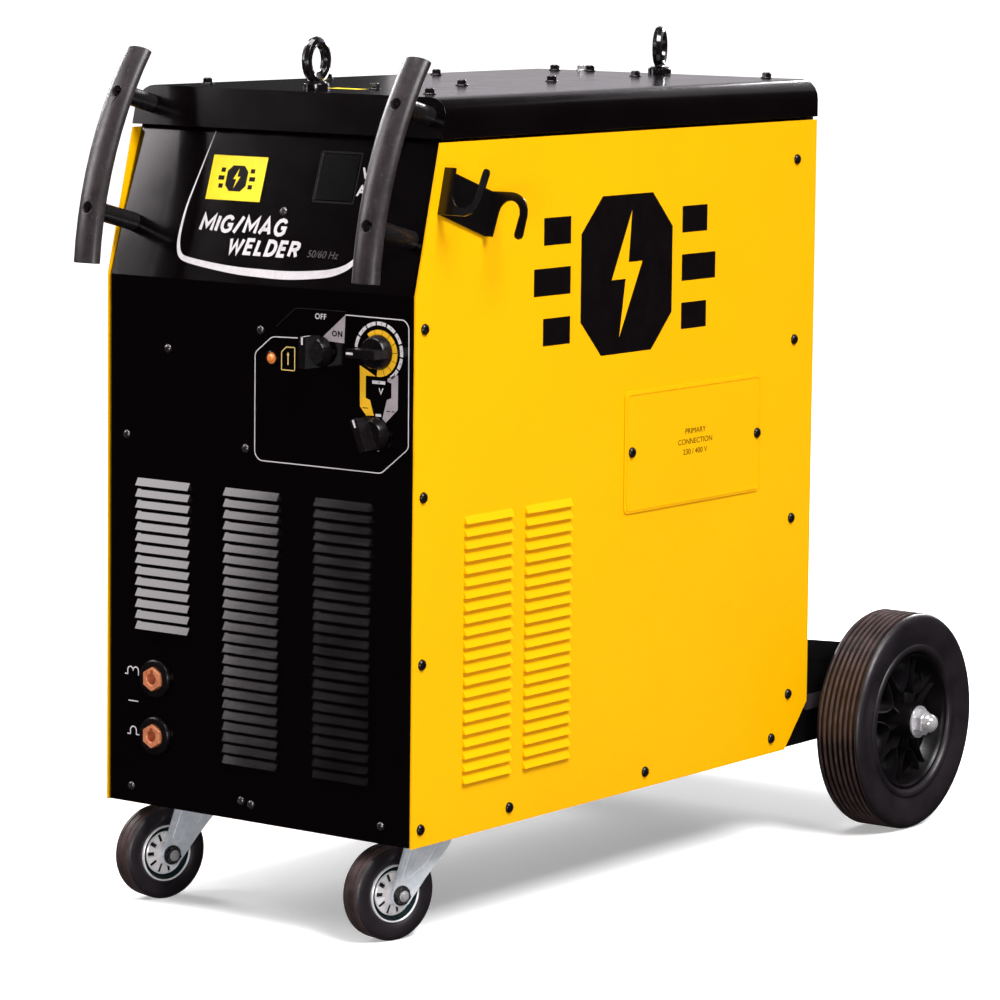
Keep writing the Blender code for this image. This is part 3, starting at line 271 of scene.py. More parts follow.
RUBBER_TREAD = finish("tread_rubber", (0.084, 0.049, 0.048), (0.030, 0.018, 0.018),
                      (0.46, 0.62), blotch=60.0, grain=650.0, bump=0.00006, specular=0.35)
# Ribs made a lighter black than the rim they are moulded with: painted highlight on the ribs.
RIB_HIGHLIGHT_BLACK = finish("rib_moulding_painted_highlight", (0.0085, 0.0075, 0.0080), (0.0050, 0.0040, 0.0050), (0.18, 0.28),
                   blotch=40.0, bump=0.00002)
RIM_BLACK = finish("black_moulding", (0.0022, 0.0014, 0.0018), (0.0040, 0.0030, 0.0034),
                   (0.26, 0.40), blotch=40.0, bump=0.00002, specular=0.28)
TEAL = finish("dark_ring", (0.004, 0.018, 0.020), (0.003, 0.009, 0.011), (0.14, 0.28),
              blotch=60.0, grain=600.0)
PLASTIC = finish("black_knob_moulding", (0.004, 0.003, 0.004), (0.007, 0.005, 0.006),
                 (0.20, 0.32), blotch=70.0, grain=1300.0, bump=0.000008, specular=0.26)
COPPER = finish("copper_contact", (1.0, 0.40, 0.20), (0.72, 0.20, 0.08), (0.22, 0.40),
                metal=0.35, blotch=150.0, grain=1500.0)
CORE = finish("core_laminations", (0.13, 0.13, 0.14), (0.09, 0.09, 0.10), (0.40, 0.60), metal=0.6,
              extra=striped(1, 0.0010, (0.035, 0.03, 0.03)))
WINDING = finish("enamelled_wire", (0.50, 0.19, 0.07), (0.36, 0.12, 0.04), (0.22, 0.36),
                 metal=0.5, extra=striped(2, 0.0030, (0.10, 0.03, 0.01)))
ALUMINIUM = finish("drawn_aluminium", (0.74, 0.75, 0.76), (0.62, 0.63, 0.65), (0.26, 0.40),
                   metal=1.0, stretch=(8, 8, 0.4), grain=300.0)
BOARD = finish("solder_mask", (0.012, 0.13, 0.05), (0.008, 0.09, 0.035), (0.24, 0.36),
               extra=speckled((0.45, 0.42, 0.26), 420.0, 0.62, 0.66))
BAKELITE = finish("bakelite", (0.16, 0.065, 0.03), (0.11, 0.04, 0.02), (0.22, 0.38),
                  extra=speckled((0.05, 0.02, 0.012), 160.0, 0.5, 0.75))
WHITE_INK = printing("white_ink", (0.74, 0.69, 0.71), (0.62, 0.58, 0.60))
GREY_INK = printing("grey_ink", (0.42, 0.36, 0.38), (0.36, 0.31, 0.33))
DIM_INK = printing("dim_ink", (0.050, 0.042, 0.046), (0.038, 0.031, 0.034), (0.30, 0.42),
                   specular=0.5)
FAINT_INK = printing("faint_ink", (0.012, 0.008, 0.010), (0.009, 0.006, 0.007), (0.30, 0.42),
                     specular=0.5)
YELLOW_INK = printing("yellow_ink", (1.0, 0.74, 0.010), (0.96, 0.68, 0.008), (0.36, 0.50), 120.0)
AMBER_INK = printing("amber_ink", (1.0, 0.56, 0.018), (0.95, 0.48, 0.014), (0.36, 0.50), 120.0)
PALE_INK = printing("pale_yellow_ink", (0.86, 0.62, 0.20), (0.78, 0.54, 0.15))
BLACK_INK = printing("black_ink", (0.0030, 0.0018, 0.0022), (0.0050, 0.0034, 0.0040),
                     (0.34, 0.48), 60.0, 1200.0, 0.10)
GREY_PLATE = finish("grey_plate_finish", (0.060, 0.048, 0.056), (0.040, 0.032, 0.038), (0.30, 0.45),
               metal=0.3, blotch=60.0)
WINDOW = glass("smoked_window", (0.0012, 0.0010, 0.0014), (0.10, 0.18))
AMBER = glass("amber_lens", (0.95, 0.30, 0.06), (0.10, 0.22), glow=0.12, through=0.2)


# ---------------------------------------------------------------- CAD nodes
def modify(piece, name, kind, **settings):
    made = piece.modifiers.new(name, kind)
    for key, value in settings.items():
        setattr(made, key, value)


def dress(name, look, bevel):
    """A CAD node's finish; modifiers weld it, round its edges and smooth its curved faces."""
    piece = NODES[name]
    mesh = piece.data
    mesh.materials.clear()
    mesh.materials.append(look)
    for face in mesh.polygons:
        face.use_smooth = True
    if mesh.has_custom_normals:
        mesh.attributes.remove(mesh.attributes["custom_normal"])
    for layer in ("sharp_edge", "sharp_face"):
        if layer in mesh.attributes:
            mesh.attributes.remove(mesh.attributes[layer])
    crease = 17.0 if "panel" in name else 38.0      # the louvres' slopes are shallow creases
    modify(piece, "weld", 'WELD', merge_threshold=0.00001)
    modify(piece, "flat_faces", 'DECIMATE', decimate_type='DISSOLVE',
           angle_limit=math.radians(0.4))
    modify(piece, "edges", 'BEVEL', width=bevel, segments=2, limit_method='ANGLE',
           angle_limit=math.radians(crease), use_clamp_overlap=True)
    modify(piece, "even_shading", 'WEIGHTED_NORMAL', weight=60, keep_sharp=False)


def dress_all():
    """Each row: look, slot, width of its rounded edges, then the nodes that have them."""
    sides, levels = ("left", "right"), ("upper", "lower")
    knobs = ("main_switch", "coarse", "fine")
    groups = (
        (FRONT_BLACK, "black_paint", 0.0003, ["front_panel"]),
        (LID_BLACK, "black_paint", 0.0005, ["roof_cover"]),
        (CHASSIS, "black_paint", 0.0004, ["rear_panel"]),
        (CHASSIS, "black_paint", 0.0005, ["base_tray", "cylinder_shelf"]),
        (CHASSIS, "black_paint", 0.0006, ["axle_block_" + side for side in sides]),
        (CHASSIS, "nut_steel", 0.0005, ["fan_motor"]),
        (BRACKET, "black_paint", 0.0005, ["cable_hook"]),
        (CAST_BLACK, "black_paint", 0.0008, ["eye_bolt_front", "eye_bolt_rear"]),
        (YELLOW, "yellow_paint", 0.0004, ["side_panel_" + side for side in sides]),
        (YELLOW, "yellow_paint", 0.0005, ["access_cover"]),
        (HANDLE, "handle_paint", 0.0010, ["handle_bar_" + side for side in sides]),
        (ARM_PAINT, "handle_paint", 0.0004,
         [f"handle_arm_{side}_{level}" for side in sides for level in levels]),
        (ZINC, "zinc_plate", 0.0004,
         ["lifting_rail", "component_shelf"] + ["caster_plate_" + side for side in sides]),
        (ZINC, "zinc_plate", 0.0005, ["rear_axle"]),
        (ZINC, "zinc_plate", 0.0006, ["caster_fork_" + side for side in sides]),
        (CHROME, "nut_steel", 0.0008, ["wheel_nut_" + side for side in sides]),
        (WINDOW, "window", 0.0004, ["digital_meter"]),
        (AMBER, "lamp_lens", 0.0002, ["pilot_lamp"]),
        (PLASTIC, "black_plastic", 0.0004, ["mains_gland", "fan_blades"]),
        (PLASTIC, "black_plastic", 0.0009, [name + "_knob" for name in knobs]),
        (PLASTIC, "black_plastic", 0.0005, ["output_socket_" + level for level in levels]),
        (COPPER, "copper_contact", 0.0005, ["socket_contact_" + level for level in levels]),
        (CORE, "core_steel", 0.0005, ["transformer_core", "output_choke"]),
        (WINDING, "winding", 0.001, [f"coil_{number}" for number in (1, 2, 3)]),
        (ALUMINIUM, "heat_sink", 0.0003, ["rectifier_stack"]),
        (BAKELITE, "bakelite", 0.0008, ["contactor"] + [name + "_body" for name in knobs]),
        (BAKELITE, "bakelite", 0.0004, ["terminal_board"]),
        (BOARD, "board", 0.0003, ["control_board"]),
    )
    for look, slot, bevel, names in groups:
        for name in names:
            dress(name, look, bevel)


# ---------------------------------------------------------------- building pieces
def shown(name, data):
    """An object in the scene for a mesh, curve, light or camera."""
    made = bpy.data.objects.new(name, data)
    bpy.context.scene.collection.objects.link(made)
    return made


def mesh_of(name, bm):
    """A mesh from a bmesh with its faces turned outwards; the bmesh is freed."""
    mesh = bpy.data.meshes.new(name)
    bmesh.ops.recalc_face_normals(bm, faces=bm.faces)
    bm.to_mesh(mesh)
    bm.free()
    return mesh


def piece_of(name, bm, look, body, smooth=35.0):
    """A piece from a bmesh that rides on a body, shaded smooth up to an angle."""
    bmesh.ops.recalc_face_normals(bm, faces=bm.faces)
    limit = math.radians(smooth)
    for face in bm.faces:
        face.smooth = True
    for edge in bm.edges:
        if len(edge.link_faces) == 2 and edge.calc_face_angle(0.0) > limit:
            edge.smooth = False
    made = shown(name, mesh_of(name, bm))
    made.data.materials.append(look)
    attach(made, body)
    return made


def add_lathe(bm, profile, place, segments, closed=True):
    """Turns (radius, height) points about the place's Z."""
    rings = []
    for radius, height in profile:
        if radius < 1e-6:
            rings.append([bm.verts.new(place @ Vector((0, 0, height)))])
            continue
        angles = [math.tau * step / segments for step in range(segments)]
        rings.append([bm.verts.new(place @ Vector((radius * math.cos(angle),
                                                   radius * math.sin(angle), height)))
                      for angle in angles])
    pairs = list(zip(rings, rings[1:]))
    if closed:
        pairs.append((rings[-1], rings[0]))
    for first, second in pairs:
        for step in range(segments):
            after = (step + 1) % segments
            corners = [first[step % len(first)], first[after % len(first)],
                       second[after % len(second)], second[step % len(second)]]
            unique = list(dict.fromkeys(corners))
            if len(unique) > 2:
                bm.faces.new(unique)


def turned(name, profiles, place, segments, look, body, smooth=40.0):
    """One piece from closed profiles turned about the same axis."""
    bm = bmesh.new()
    for profile in profiles:
        add_lathe(bm, profile, place, segments)
    return piece_of(name, bm, look, body, smooth)


def add_walls(bm, lower, upper):
    """Faces between two rings of as many vertices."""
    for step, (low, high) in enumerate(zip(lower, upper)):
        after = (step + 1) % len(lower)
        bm.faces.new((low, lower[after], upper[after], high))


def add_loft(bm, lower, upper):
    """A closed shape between two flat outlines of as many points."""
    rings = [[bm.verts.new(point) for point in outline] for outline in (lower, upper)]
    bm.faces.new(rings[0][::-1])
    bm.faces.new(rings[1])
    add_walls(bm, *rings)


def add_prism(bm, points, place, low, high):
    """A flat outline raised from low to high."""
    add_loft(bm, *([place @ Vector((x, y, level)) for x, y in points] for level in (low, high)))


def add_holed(bm, outer, inner, place, low, high):
    """A flat outline with a hole in it, raised from low to high."""
    caps = []
    for level in (low, high):
        rings = [[bm.verts.new(place @ Vector((x, y, level))) for x, y in path]
                 for path in (outer, inner)]
        edges = [bm.edges.new((ring[k], ring[(k + 1) % len(ring)]))
                 for ring in rings for k in range(len(ring))]
        bmesh.ops.triangle_fill(bm, edges=edges, use_beauty=True)
        caps.append(rings)
    for lower, upper in zip(*caps):
        add_walls(bm, lower, upper)


def rounded_path(points, radius, closed, steps=5):
    """The path with each corner replaced by a short curve."""
    count = len(points)
    made = []
    for index, (x, y) in enumerate(points):
        if not closed and index in (0, count - 1):
            made.append((x, y))
            continue
        here = Vector((x, y))
        before = Vector(points[index - 1]) - here
        after = Vector(points[(index + 1) % count]) - here
        cut = min(radius, 0.45 * before.length, 0.45 * after.length)
        start, end = here + before.normalized() * cut, here + after.normalized() * cut
        for step in range(steps + 1):
            t = step / steps
            point = start * (1 - t) ** 2 + here * 2 * t * (1 - t) + end * t ** 2
            made.append((point.x, point.y))
    return made


def add_ribbon(bm, points, width, place, low, high, closed=False):
    """A raised line of even or given width along a flat path."""
    count = len(points)
    widths = width if isinstance(width, (list, tuple)) else [width] * count
    rows = []
    for index, point in enumerate(points):
        here = Vector(point)
        before = Vector(points[index - 1]) if closed or index else None
        after = Vector(points[(index + 1) % count]) if closed or index < count - 1 else None
        first = (here - before).normalized() if before is not None else None
        second = (after - here).normalized() if after is not None else None
        first, second = first or second, second or first
        along = (first + second).normalized()
        across = Vector((-along.y, along.x))
        reach = widths[index] / 2 / max(0.5, across.dot(Vector((-first.y, first.x))))
        left, right = here + across * reach, here - across * reach
        rows.append([bm.verts.new(place @ Vector((p.x, p.y, level)))
                     for p, level in ((left, low), (right, low), (right, high), (left, high))])
    for here, there in zip(rows, rows[1:] + rows[:1] if closed else rows[1:]):
        add_walls(bm, here, there)
    if not closed:
        bm.faces.new(rows[0])
        bm.faces.new(rows[-1][::-1])


def arc(centre, radius, start, end, steps):
    """Points of an arc, angles in degrees anticlockwise from the right."""
    angles = [math.radians(start + (end - start) * i / steps) for i in range(steps + 1)]
    return [(centre[0] + radius * math.cos(angle), centre[1] + radius * math.sin(angle))
            for angle in angles]


def mm(points):
    return [(x / 1000, y / 1000) for x, y in points]


def rectangle(left, low, right, high):
    return [(left, low), (right, low), (right, high), (left, high)]


def fill(*points):
    """A filled outline for ink(), in millimetres."""
    return "fill", mm(points)


def ink(name, shapes, place, look, height=PRINT):
    """Print in one piece, from ("fill", points), ("holed", outer, inner) and ("line", points,
    width, closed) shapes."""
    bm = bmesh.new()
    add = {"fill": lambda points: add_prism(bm, points, place, INK_LIFT, height),
           "holed": lambda outer, inner: add_holed(bm, outer, inner, place, INK_LIFT, height),
           "line": lambda points, width, closed: add_ribbon(bm, points, width, place, INK_LIFT,
                                                            height, closed)}
    for kind, *shape in shapes:
        add[kind](*shape)
    return piece_of(name, bm, look, CABINET)


def solid_copy(piece):
    """The piece's mesh with its modifiers applied; the piece itself is deleted."""
    bpy.context.view_layer.update()
    graph = bpy.context.evaluated_depsgraph_get()
    mesh = bpy.data.meshes.new_from_object(piece.evaluated_get(graph))
    bpy.data.objects.remove(piece)
    return mesh


def words(name, text, place, size, look, shear=0.0, weight=0.0, width=1.0,
          height=PRINT):
    """Raised lettering with its middle at the place."""
    curve = bpy.data.curves.new(name, 'FONT')
    curve.body = text
    curve.size = size
    curve.shear = shear
    curve.offset = weight
    curve.space_character = 1.0 + 6.0 * weight / size
    curve.align_x = 'CENTER'
    curve.align_y = 'CENTER'
    curve.extrude = height / 2
    curve.resolution_u = 4
    mesh = solid_copy(shown(name + "_curve", curve))
    lift = Matrix.Translation((0, 0, height / 2 + INK_LIFT)) @ Matrix.Diagonal((width, 1, 1, 1))
    mesh.transform(place @ lift)
    mesh.materials.clear()
    mesh.materials.append(look)
    made = shown(name, mesh)
    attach(made, CABINET)


# ---------------------------------------------------------------- screws
def screw_head(radius, height, cross):
    """A domed head with a cross or hexagon recess, on its axis, as a mesh to copy."""
    dome = bmesh.new()
    profile = [(0.0, height), (radius * 0.35, height * 0.97), (radius * 0.62, height * 0.86),
               (radius * 0.84, height * 0.62), (radius * 0.96, height * 0.34),
               (radius, height * 0.12), (radius, 0.0), (0.0, 0.0)]
    add_lathe(dome, profile, Matrix.Identity(4), 20, closed=False)
    recess = bmesh.new()
    if cross:
        arm, reach = radius * 0.15, radius * 0.58
        edge = [(arm, arm), (arm, reach), (-arm, reach), (-arm, arm), (-reach, arm),
                (-reach, -arm), (-arm, -arm), (-arm, -reach), (arm, -reach), (arm, -arm),
                (reach, -arm), (reach, arm)]
    else:
        edge = arc((0, 0), radius * 0.52, 0, 300, 5)
    add_prism(recess, edge, Matrix.Identity(4), height * 0.35, height * 2)
    head = shown("screw_head", mesh_of("screw_head", dome))
    cutter = shown("screw_recess", mesh_of("screw_recess", recess))
    modify(head, "recess", 'BOOLEAN', operation='DIFFERENCE', object=cutter, solver='EXACT')
    mesh = solid_copy(head)
    bpy.data.objects.remove(cutter)
    return mesh


def hex_head(radius, height):
    """A flanged hexagon head with a turned top."""
    bm = bmesh.new()
    flange = [(0.0, 0.0014), (radius * 1.12, 0.0014), (radius * 1.26, 0.0008),
              (radius * 1.26, 0.0), (0.0, 0.0)]
    cap = [(0.0, height), (radius * 0.70, height), (radius * 0.86, height - 0.0010),
           (radius * 0.70, height - 0.0016), (0.0, height - 0.0016)]
    add_lathe(bm, flange, Matrix.Identity(4), 24, closed=False)
    add_prism(bm, arc((0, 0), radius, 0, 300, 5), Matrix.Identity(4), 0.0012, height - 0.0008)
    add_lathe(bm, cap, Matrix.Identity(4), 24, closed=False)
    return mesh_of("hex_head", bm)


def screws(name, head, places, look):
    """One piece with a copy of the head at each place, each turned its own way."""
    bm = bmesh.new()
    lift = Matrix.Translation((0, 0, 0.00005))
    for place in places:
        turn = Matrix.Rotation(random.uniform(0, math.pi), 4, 'Z')
        start = len(bm.verts)
        bm.from_mesh(head)
        bm.verts.ensure_lookup_table()
        for vert in bm.verts[start:]:
            vert.co = place @ lift @ turn @ vert.co
    piece_of(name, bm, look, CABINET, 32.0)


def all_screws():
    pan = screw_head(0.0060, 0.0038, True)
    small = screw_head(0.0046, 0.0026, True)
    bolt = hex_head(0.0056, 0.0066)
    side = mm([(15.0, 645), (15.0, 472), (15.0, 299), (15.0, 127), (169, 126), (421, 126),
               (675, 126), (709, 790), (709, 584), (709, 378), (709, 173)])
    for name, sign in SIDES:
        screws("side_screws_" + name, pan, [on_side(*spot, sign) for spot in side], SCREW_BLACK)
    screws("cover_screws", pan, [on_cover(0.385, 0.484), on_cover(0.632, 0.4835)], SCREW_BLACK)
    front = mm([(4.2, 632), (-15.4, 506), (-122.7, 604), (-180, 508), (-172.4, 127.4),
                (-19.5, 130.5), (-5.5, 128), (168, 128)])
    places = [on_front(*spot) for spot in front] + [on_slope(0.0144, 0.080)]
    screws("front_screws", small, places, SCREW_DARK)
    roof = mm([(-165, 113), (145, 102), (36, 148), (42, 294), (42, 460), (22, 652), (-143, 722),
               (-105, 740), (148, 735), (-150, 300), (-150, 500)])
    screws("roof_screws", bolt, [on_roof(*spot) for spot in roof], SCREW_BLACK)
    screws("roof_bright_bolt", bolt, [on_roof(-0.120, 0.745)], CHROME)
    rear = [(x, z) for x in (-0.192, 0.192) for z in (0.20, 0.40, 0.60, 0.80)]
    screws("rear_screws", pan, [on_rear(*spot) for spot in rear], SCREW_BLACK)
    fan = arc((0, 0.42), 0.125, 45, 315, 3)
    screws("fan_screws", small, [on_rear(*spot) for spot in fan], SCREW_DARK)


def handle_bolts():
    """Socket-head bolts at the bottom of the handle bars' recesses."""
    bolt = screw_head(0.0049, 0.0042, False)
    for name, side in SIDES:
        places = []
        for up in ARMS:
            bow = math.sqrt((ARC_R - ARC_THICK) ** 2 - (up - APEX[0]) ** 2)
            out = APEX[1] - ARC_R + bow + 0.0041
            depth = up * math.sin(LEAN) - out * math.cos(LEAN)
            z = SLOPE_LOW + up * math.cos(LEAN) + out * math.sin(LEAN)
            places.append(Matrix.Translation(at(side * HANDLE_X, depth, z))
                          @ Matrix.Rotation(math.pi / 2 - LEAN, 4, 'X'))
        screws("handle_bolts_" + name, bolt, places, SCREW_BLACK)


# ---------------------------------------------------------------- print on the control panel
SCALE = KNOBS["coarse"][:2]                 # middle of the coarse selector's scale
SECTORS = [(173 - 26 * k, 150.5 - 26 * k) for k in range(9)]    # its white divisions, degrees


def control_outline():
    """White outline of the controls, the scale's divisions and the small white marks."""
    outline = rounded_path(mm([(54, 627), (19.7, 626), (-3, 608), (-3, 501.5), (3.5, 495),
                               (165, 495), (200, 523), (199.5, 648), (194, 654.5), (117, 655)]),
                           0.004, False)
    white = [("line", outline, 0.0011, False)]
    for start, end in SECTORS:
        white.append(("fill", arc(SCALE, 0.0316, start, end, 5) + arc(SCALE, 0.0278, end, start, 5)))
    white += [fill(*rectangle(152.6, 586.7, 169.5, 590.1)),
              fill(*rectangle(157.3, 553.2, 164.3, 555.9)),
              ("fill", arc((0.161, 0.5186), 0.0013, 0, 330, 11))]
    ink("control_outline", white, on_front(), WHITE_INK)


def control_fields():
    """Grey and amber fields that join the selectors, a faint line, the ring and the symbols."""
    grey = [fill((117, 655), (115.6, 625.6), (93, 626.5), (88, 631)),
            fill((186.0, 597.5), (186.0, 562.1), (170.6, 547.7), (166.2, 551.5), (171.8, 571.3),
                 (177.6, 573.5), (177.6, 588.6), (172.5, 590.0), (172.5, 593.0), (180.5, 597.0))]
    ink("control_grey", grey, on_front(), GREY_INK)
    faint = rounded_path(mm([(25, 637), (51, 658), (117, 658.5)]), 0.003, False)
    ink("control_faint_line", [("line", faint, 0.0008, False)], on_front(), FAINT_INK)
    amber = fill((136.3, 604.5), (136.9, 562.1), (145.1, 553.1), (154.9, 553.9), (149.9, 569.6),
                 (144.2, 571.4), (144.2, 594.4), (157.0, 594.4), (153.0, 596.6), (146.0, 600.0))
    ink("scale_yellow", [amber], on_front(), AMBER_INK)
    middle = (SCALE[0], SCALE[1] - 0.001)
    ring = [("fill", arc(middle, 0.0242, start, start - 23.5, 5)
             + arc(middle, 0.0125, start - 23.5, start, 5)) for start in range(128, -97, -25)]
    ink("scale_amber", ring, on_front(), AMBER_INK)
    border = mm([(32.6, 592.5), (32.6, 611.0), (38.9, 616.6), (50.2, 616.6), (50.2, 592.5)])
    arrow = fill((40.6, 598.0), (42.0, 598.0), (42.0, 608.0), (43.2, 608.0), (41.3, 611.4),
                 (39.4, 608.0), (40.6, 608.0))
    ink("feed_symbol", [("line", rounded_path(border, 0.0012, True, 3), 0.0011, True), arrow],
        on_front(), PALE_INK)
    ticks = [fill(*rectangle(140.2, 560.6, 147.6, 561.4)),
             fill(*rectangle(171.6, 559.2, 176.0, 560.2)),
             fill(*rectangle(178.0, 559.2, 182.4, 560.2))]
    ink("selector_ticks", ticks, on_front(), BLACK_INK, height=OVERPRINT)


def control_words():
    words("text_off", "OFF", on_front(0.0843, 0.6510), 0.0082, WHITE_INK, weight=0.00012)
    words("text_on", "ON", on_front(0.1064, 0.6345), 0.0082, BLACK_INK, weight=0.00030,
          height=OVERPRINT)
    words("text_volts", "V", on_front(0.1640, 0.5790), 0.0100, WHITE_INK)
    places = [arc(SCALE, 0.02975, (start + end) / 2, 0, 1)[0] for start, end in SECTORS]
    for number, place in enumerate(places + [(0.1612, 0.5884)], 1):
        words(f"scale_number_{number}", str(number), on_front(*place), 0.0034, BLACK_INK,
              height=OVERPRINT)


def socket_print():
    """Inductance symbols beside the output sockets: a coil, a bar and a single hump."""
    x, high, low = -0.170, 0.2530, 0.1880
    coil = [(x - 0.0120, high - 0.0042), (x - 0.0082, high - 0.0042),
            *arc((x - 0.0044, high + 0.0002), 0.0038, 180, 0, 8),
            *arc((x + 0.0032, high + 0.0002), 0.0038, 180, 0, 8)[1:], (x + 0.0070, high - 0.0048)]
    hump = [(x - 0.0085, low - 0.0042), (x - 0.0042, low - 0.0042),
            *arc((x, low), 0.0042, 180, 0, 8), (x + 0.0042, low - 0.0042),
            (x + 0.0085, low - 0.0042)]
    bar = [(x - 0.0070, 0.2200), (x + 0.0070, 0.2200)]
    ink("socket_symbols", [("line", path, 0.0013, False) for path in (coil, hump, bar)],
        on_front(), WHITE_INK)


def knob_marks():
    """White pointer lines let into the ends of the knobs' bars."""
    for name, (x, z, radius, angle, body) in KNOBS.items():
        place = on_front(x, z) @ Matrix.Rotation(math.radians(-angle), 4, 'Z')
        bm = bmesh.new()
        add_prism(bm, rectangle(-0.0012, radius * 0.55, 0.0012, radius * 1.03), place,
                  KNOB_NOSE, KNOB_NOSE + 0.0003)
        add_prism(bm, rectangle(-0.0012, radius * 1.045, 0.0012, radius * 1.056), place,
                  0.0175, 0.0290)
        piece_of("knob_mark_" + name, bm, WHITE_INK, body)


# ---------------------------------------------------------------- badges and lettering
def badge_shapes(x, y, width, height):
    """A plain generic badge: a solid cut-cornered plate with a spark cut out, bars either side."""
    plate = height / 2
    cut = plate * 0.45
    edge = [(-plate + cut, -plate), (plate - cut, -plate), (plate, -plate + cut),
            (plate, plate - cut), (plate - cut, plate), (-plate + cut, plate),
            (-plate, plate - cut), (-plate, -plate + cut)]
    zigzag = [(0.12, 1.0), (-0.42, -0.08), (-0.04, -0.08), (-0.20, -1.0), (0.42, 0.18),
              (0.04, 0.18)]
    spark = [(plate * 0.80 * a, plate * 0.80 * b) for a, b in zigzag]
    shapes = [("holed", [(x + a, y + b) for a, b in edge], [(x + a, y + b) for a, b in spark])]
    near = plate * 1.22
    for side in (-1, 1):
        for level, reach in ((0.62, 0.74), (0.0, 1.0), (-0.62, 0.74)):
            far = near + (width / 2 - near) * reach
            left, right = sorted((near * side, far * side))
            shapes.append(("fill", rectangle(x + left, y + plate * (level - 0.17),
                                             x + right, y + plate * (level + 0.17))))
    return shapes


def side_badges():
    badge = badge_shapes(0.0, 0.0, 0.342, 0.172)
    for name, side in SIDES:
        ink("side_badge_" + name, badge, on_side(0.374, 0.680, side), BLACK_INK)
    for row, text in enumerate(("PRIMARY", "CONNECTION", "230 / 400 V")):
        words(f"cover_text_{row + 1}", text, on_cover(0.508, 0.4975 - 0.0115 * row), 0.0088,
              BLACK_INK, width=1.15)


GLYPHS = {      # width, then strokes inside a box one unit high
    "M": (0.92, [[(0, 0), (0, 1), (0.46, 0.30), (0.92, 1), (0.92, 0)]]),
    "I": (0.02, [[(0.01, 0), (0.01, 1)]]),
    "G": (0.78, [[(0.76, 0.80), (0.62, 0.95), (0.42, 1.0), (0.20, 0.93), (0.05, 0.74), (0, 0.5),
                  (0.05, 0.26), (0.20, 0.07), (0.42, 0), (0.64, 0.05), (0.78, 0.18),
                  (0.78, 0.46), (0.46, 0.46)]]),
    "/": (0.44, [[(0, -0.05), (0.44, 1.05)]]),
    "A": (0.84, [[(0, 0), (0.42, 1), (0.84, 0)], [(0.17, 0.30), (0.67, 0.30)]]),
    "W": (1.16, [[(0, 1), (0.28, 0), (0.58, 0.80), (0.88, 0), (1.16, 1)]]),
    "E": (0.58, [[(0.58, 1), (0, 1), (0, 0), (0.58, 0)], [(0.05, 0.52), (0.52, 0.52)]]),
    "L": (0.52, [[(0, 1), (0, 0), (0.52, 0)]]),
    "D": (0.72, [[(0.3, 0), (0, 0), (0, 1), (0.34, 1), (0.58, 0.90), (0.72, 0.66), (0.72, 0.34),
                  (0.58, 0.10), (0.34, 0), (0.28, 0)]]),
    "R": (0.66, [[(0, 0), (0, 1), (0.40, 1), (0.60, 0.92), (0.66, 0.76), (0.60, 0.60),
                  (0.40, 0.50), (0.08, 0.50)], [(0.40, 0.46), (0.66, 0)]]),
}


def stroke_word(name, text, x, y, tall, thick=0.0040, slant=0.20):
    """Bold slanted capitals on the slope, drawn with strokes, starting at (x, y)."""
    shapes = []
    for letter in text:
        width, strokes = GLYPHS[letter]
        for stroke in strokes:
            path = [(x + tall * (u + slant * v), y + tall * v) for u, v in stroke]
            shapes.append(("line", path, thick, False))
        x += tall * width + thick * 1.55
    ink(name, shapes, on_slope(), WHITE_INK)


def between(a, b, c, d, t):
    """A value on the smooth curve through four others, between the second and the third."""
    return 0.5 * (2 * b + (c - a) * t + (2 * a - 5 * b + 4 * c - d) * t * t
                  + (3 * b - a - 3 * c + d) * t ** 3)


def decal_outline():
    """The decal's white line, a smooth swelling curve through the points given."""
    path = mm([(-99, 162), (-110, 114), (-117.6, 79), (-119.5, 52), (-118, 36), (-112, 25),
               (-98, 20.5), (-63, 16.0), (-30, 13.2), (-2, 12.4), (24, 12.0), (47, 12.8),
               (75, 15.4), (94.5, 18.6), (112, 25.5), (124, 37), (131, 52)])
    widths = [0.0008, 0.0016, 0.0024, 0.0032, 0.0042, 0.0052, 0.0062, 0.0070, 0.0080, 0.0086,
              0.0090, 0.0090, 0.0086, 0.0080, 0.0066, 0.0050, 0.0030]
    smooth, wide = [], []
    padded = path[:1] + path + path[-1:]
    for index in range(len(path) - 1):
        for step in range(4):
            t = step / 4
            smooth.append(tuple(between(*values, t) for values in zip(*padded[index:index + 4])))
            wide.append(widths[index] * (1 - t) + widths[index + 1] * t)
    ink("decal_outline", [("line", smooth + path[-1:], wide + widths[-1:], False)], on_slope(),
        WHITE_INK)


def slope_print():
    """The decal on the leaning front, and the small label on the lid."""
    decal_outline()
    ink("label_yellow", [fill(*rectangle(-94.5, 88, -20.5, 136.5))], on_slope(), YELLOW_INK)
    ink("label_badge", badge_shapes(-0.0575, 0.1120, 0.050, 0.028), on_slope(), BLACK_INK,
        height=OVERPRINT)
    stroke_word("text_process", "MIG/MAG", -0.0930, 0.0545, 0.0160)
    stroke_word("text_kind", "WELDER", -0.0500, 0.0325, 0.0145)
    words("text_phase", "50/60 Hz", on_slope(0.0770, 0.0365), 0.0110, DIM_INK, shear=0.20)
    words("meter_volts", "V", on_slope(0.1125, 0.1250), 0.0160, WHITE_INK, weight=0.0005)
    words("meter_amps", "A", on_slope(0.1110, 0.1065), 0.0160, WHITE_INK, weight=0.0005)
    ink("roof_label", [fill(*rectangle(-12, 0, 29, 17))], on_roof(0, 0.129), YELLOW_INK)


# ---------------------------------------------------------------- rear wheels
TREAD_LOW = WHEEL_R - 0.0060                # radius at which the tread meets the shoulders
TREAD_EDGE = WHEEL_HALF - 0.0065
GROOVES = 7
GROOVE_MIDDLES = [TREAD_EDGE - 2 * TREAD_EDGE / GROOVES * (k + 0.5) for k in range(GROOVES)]


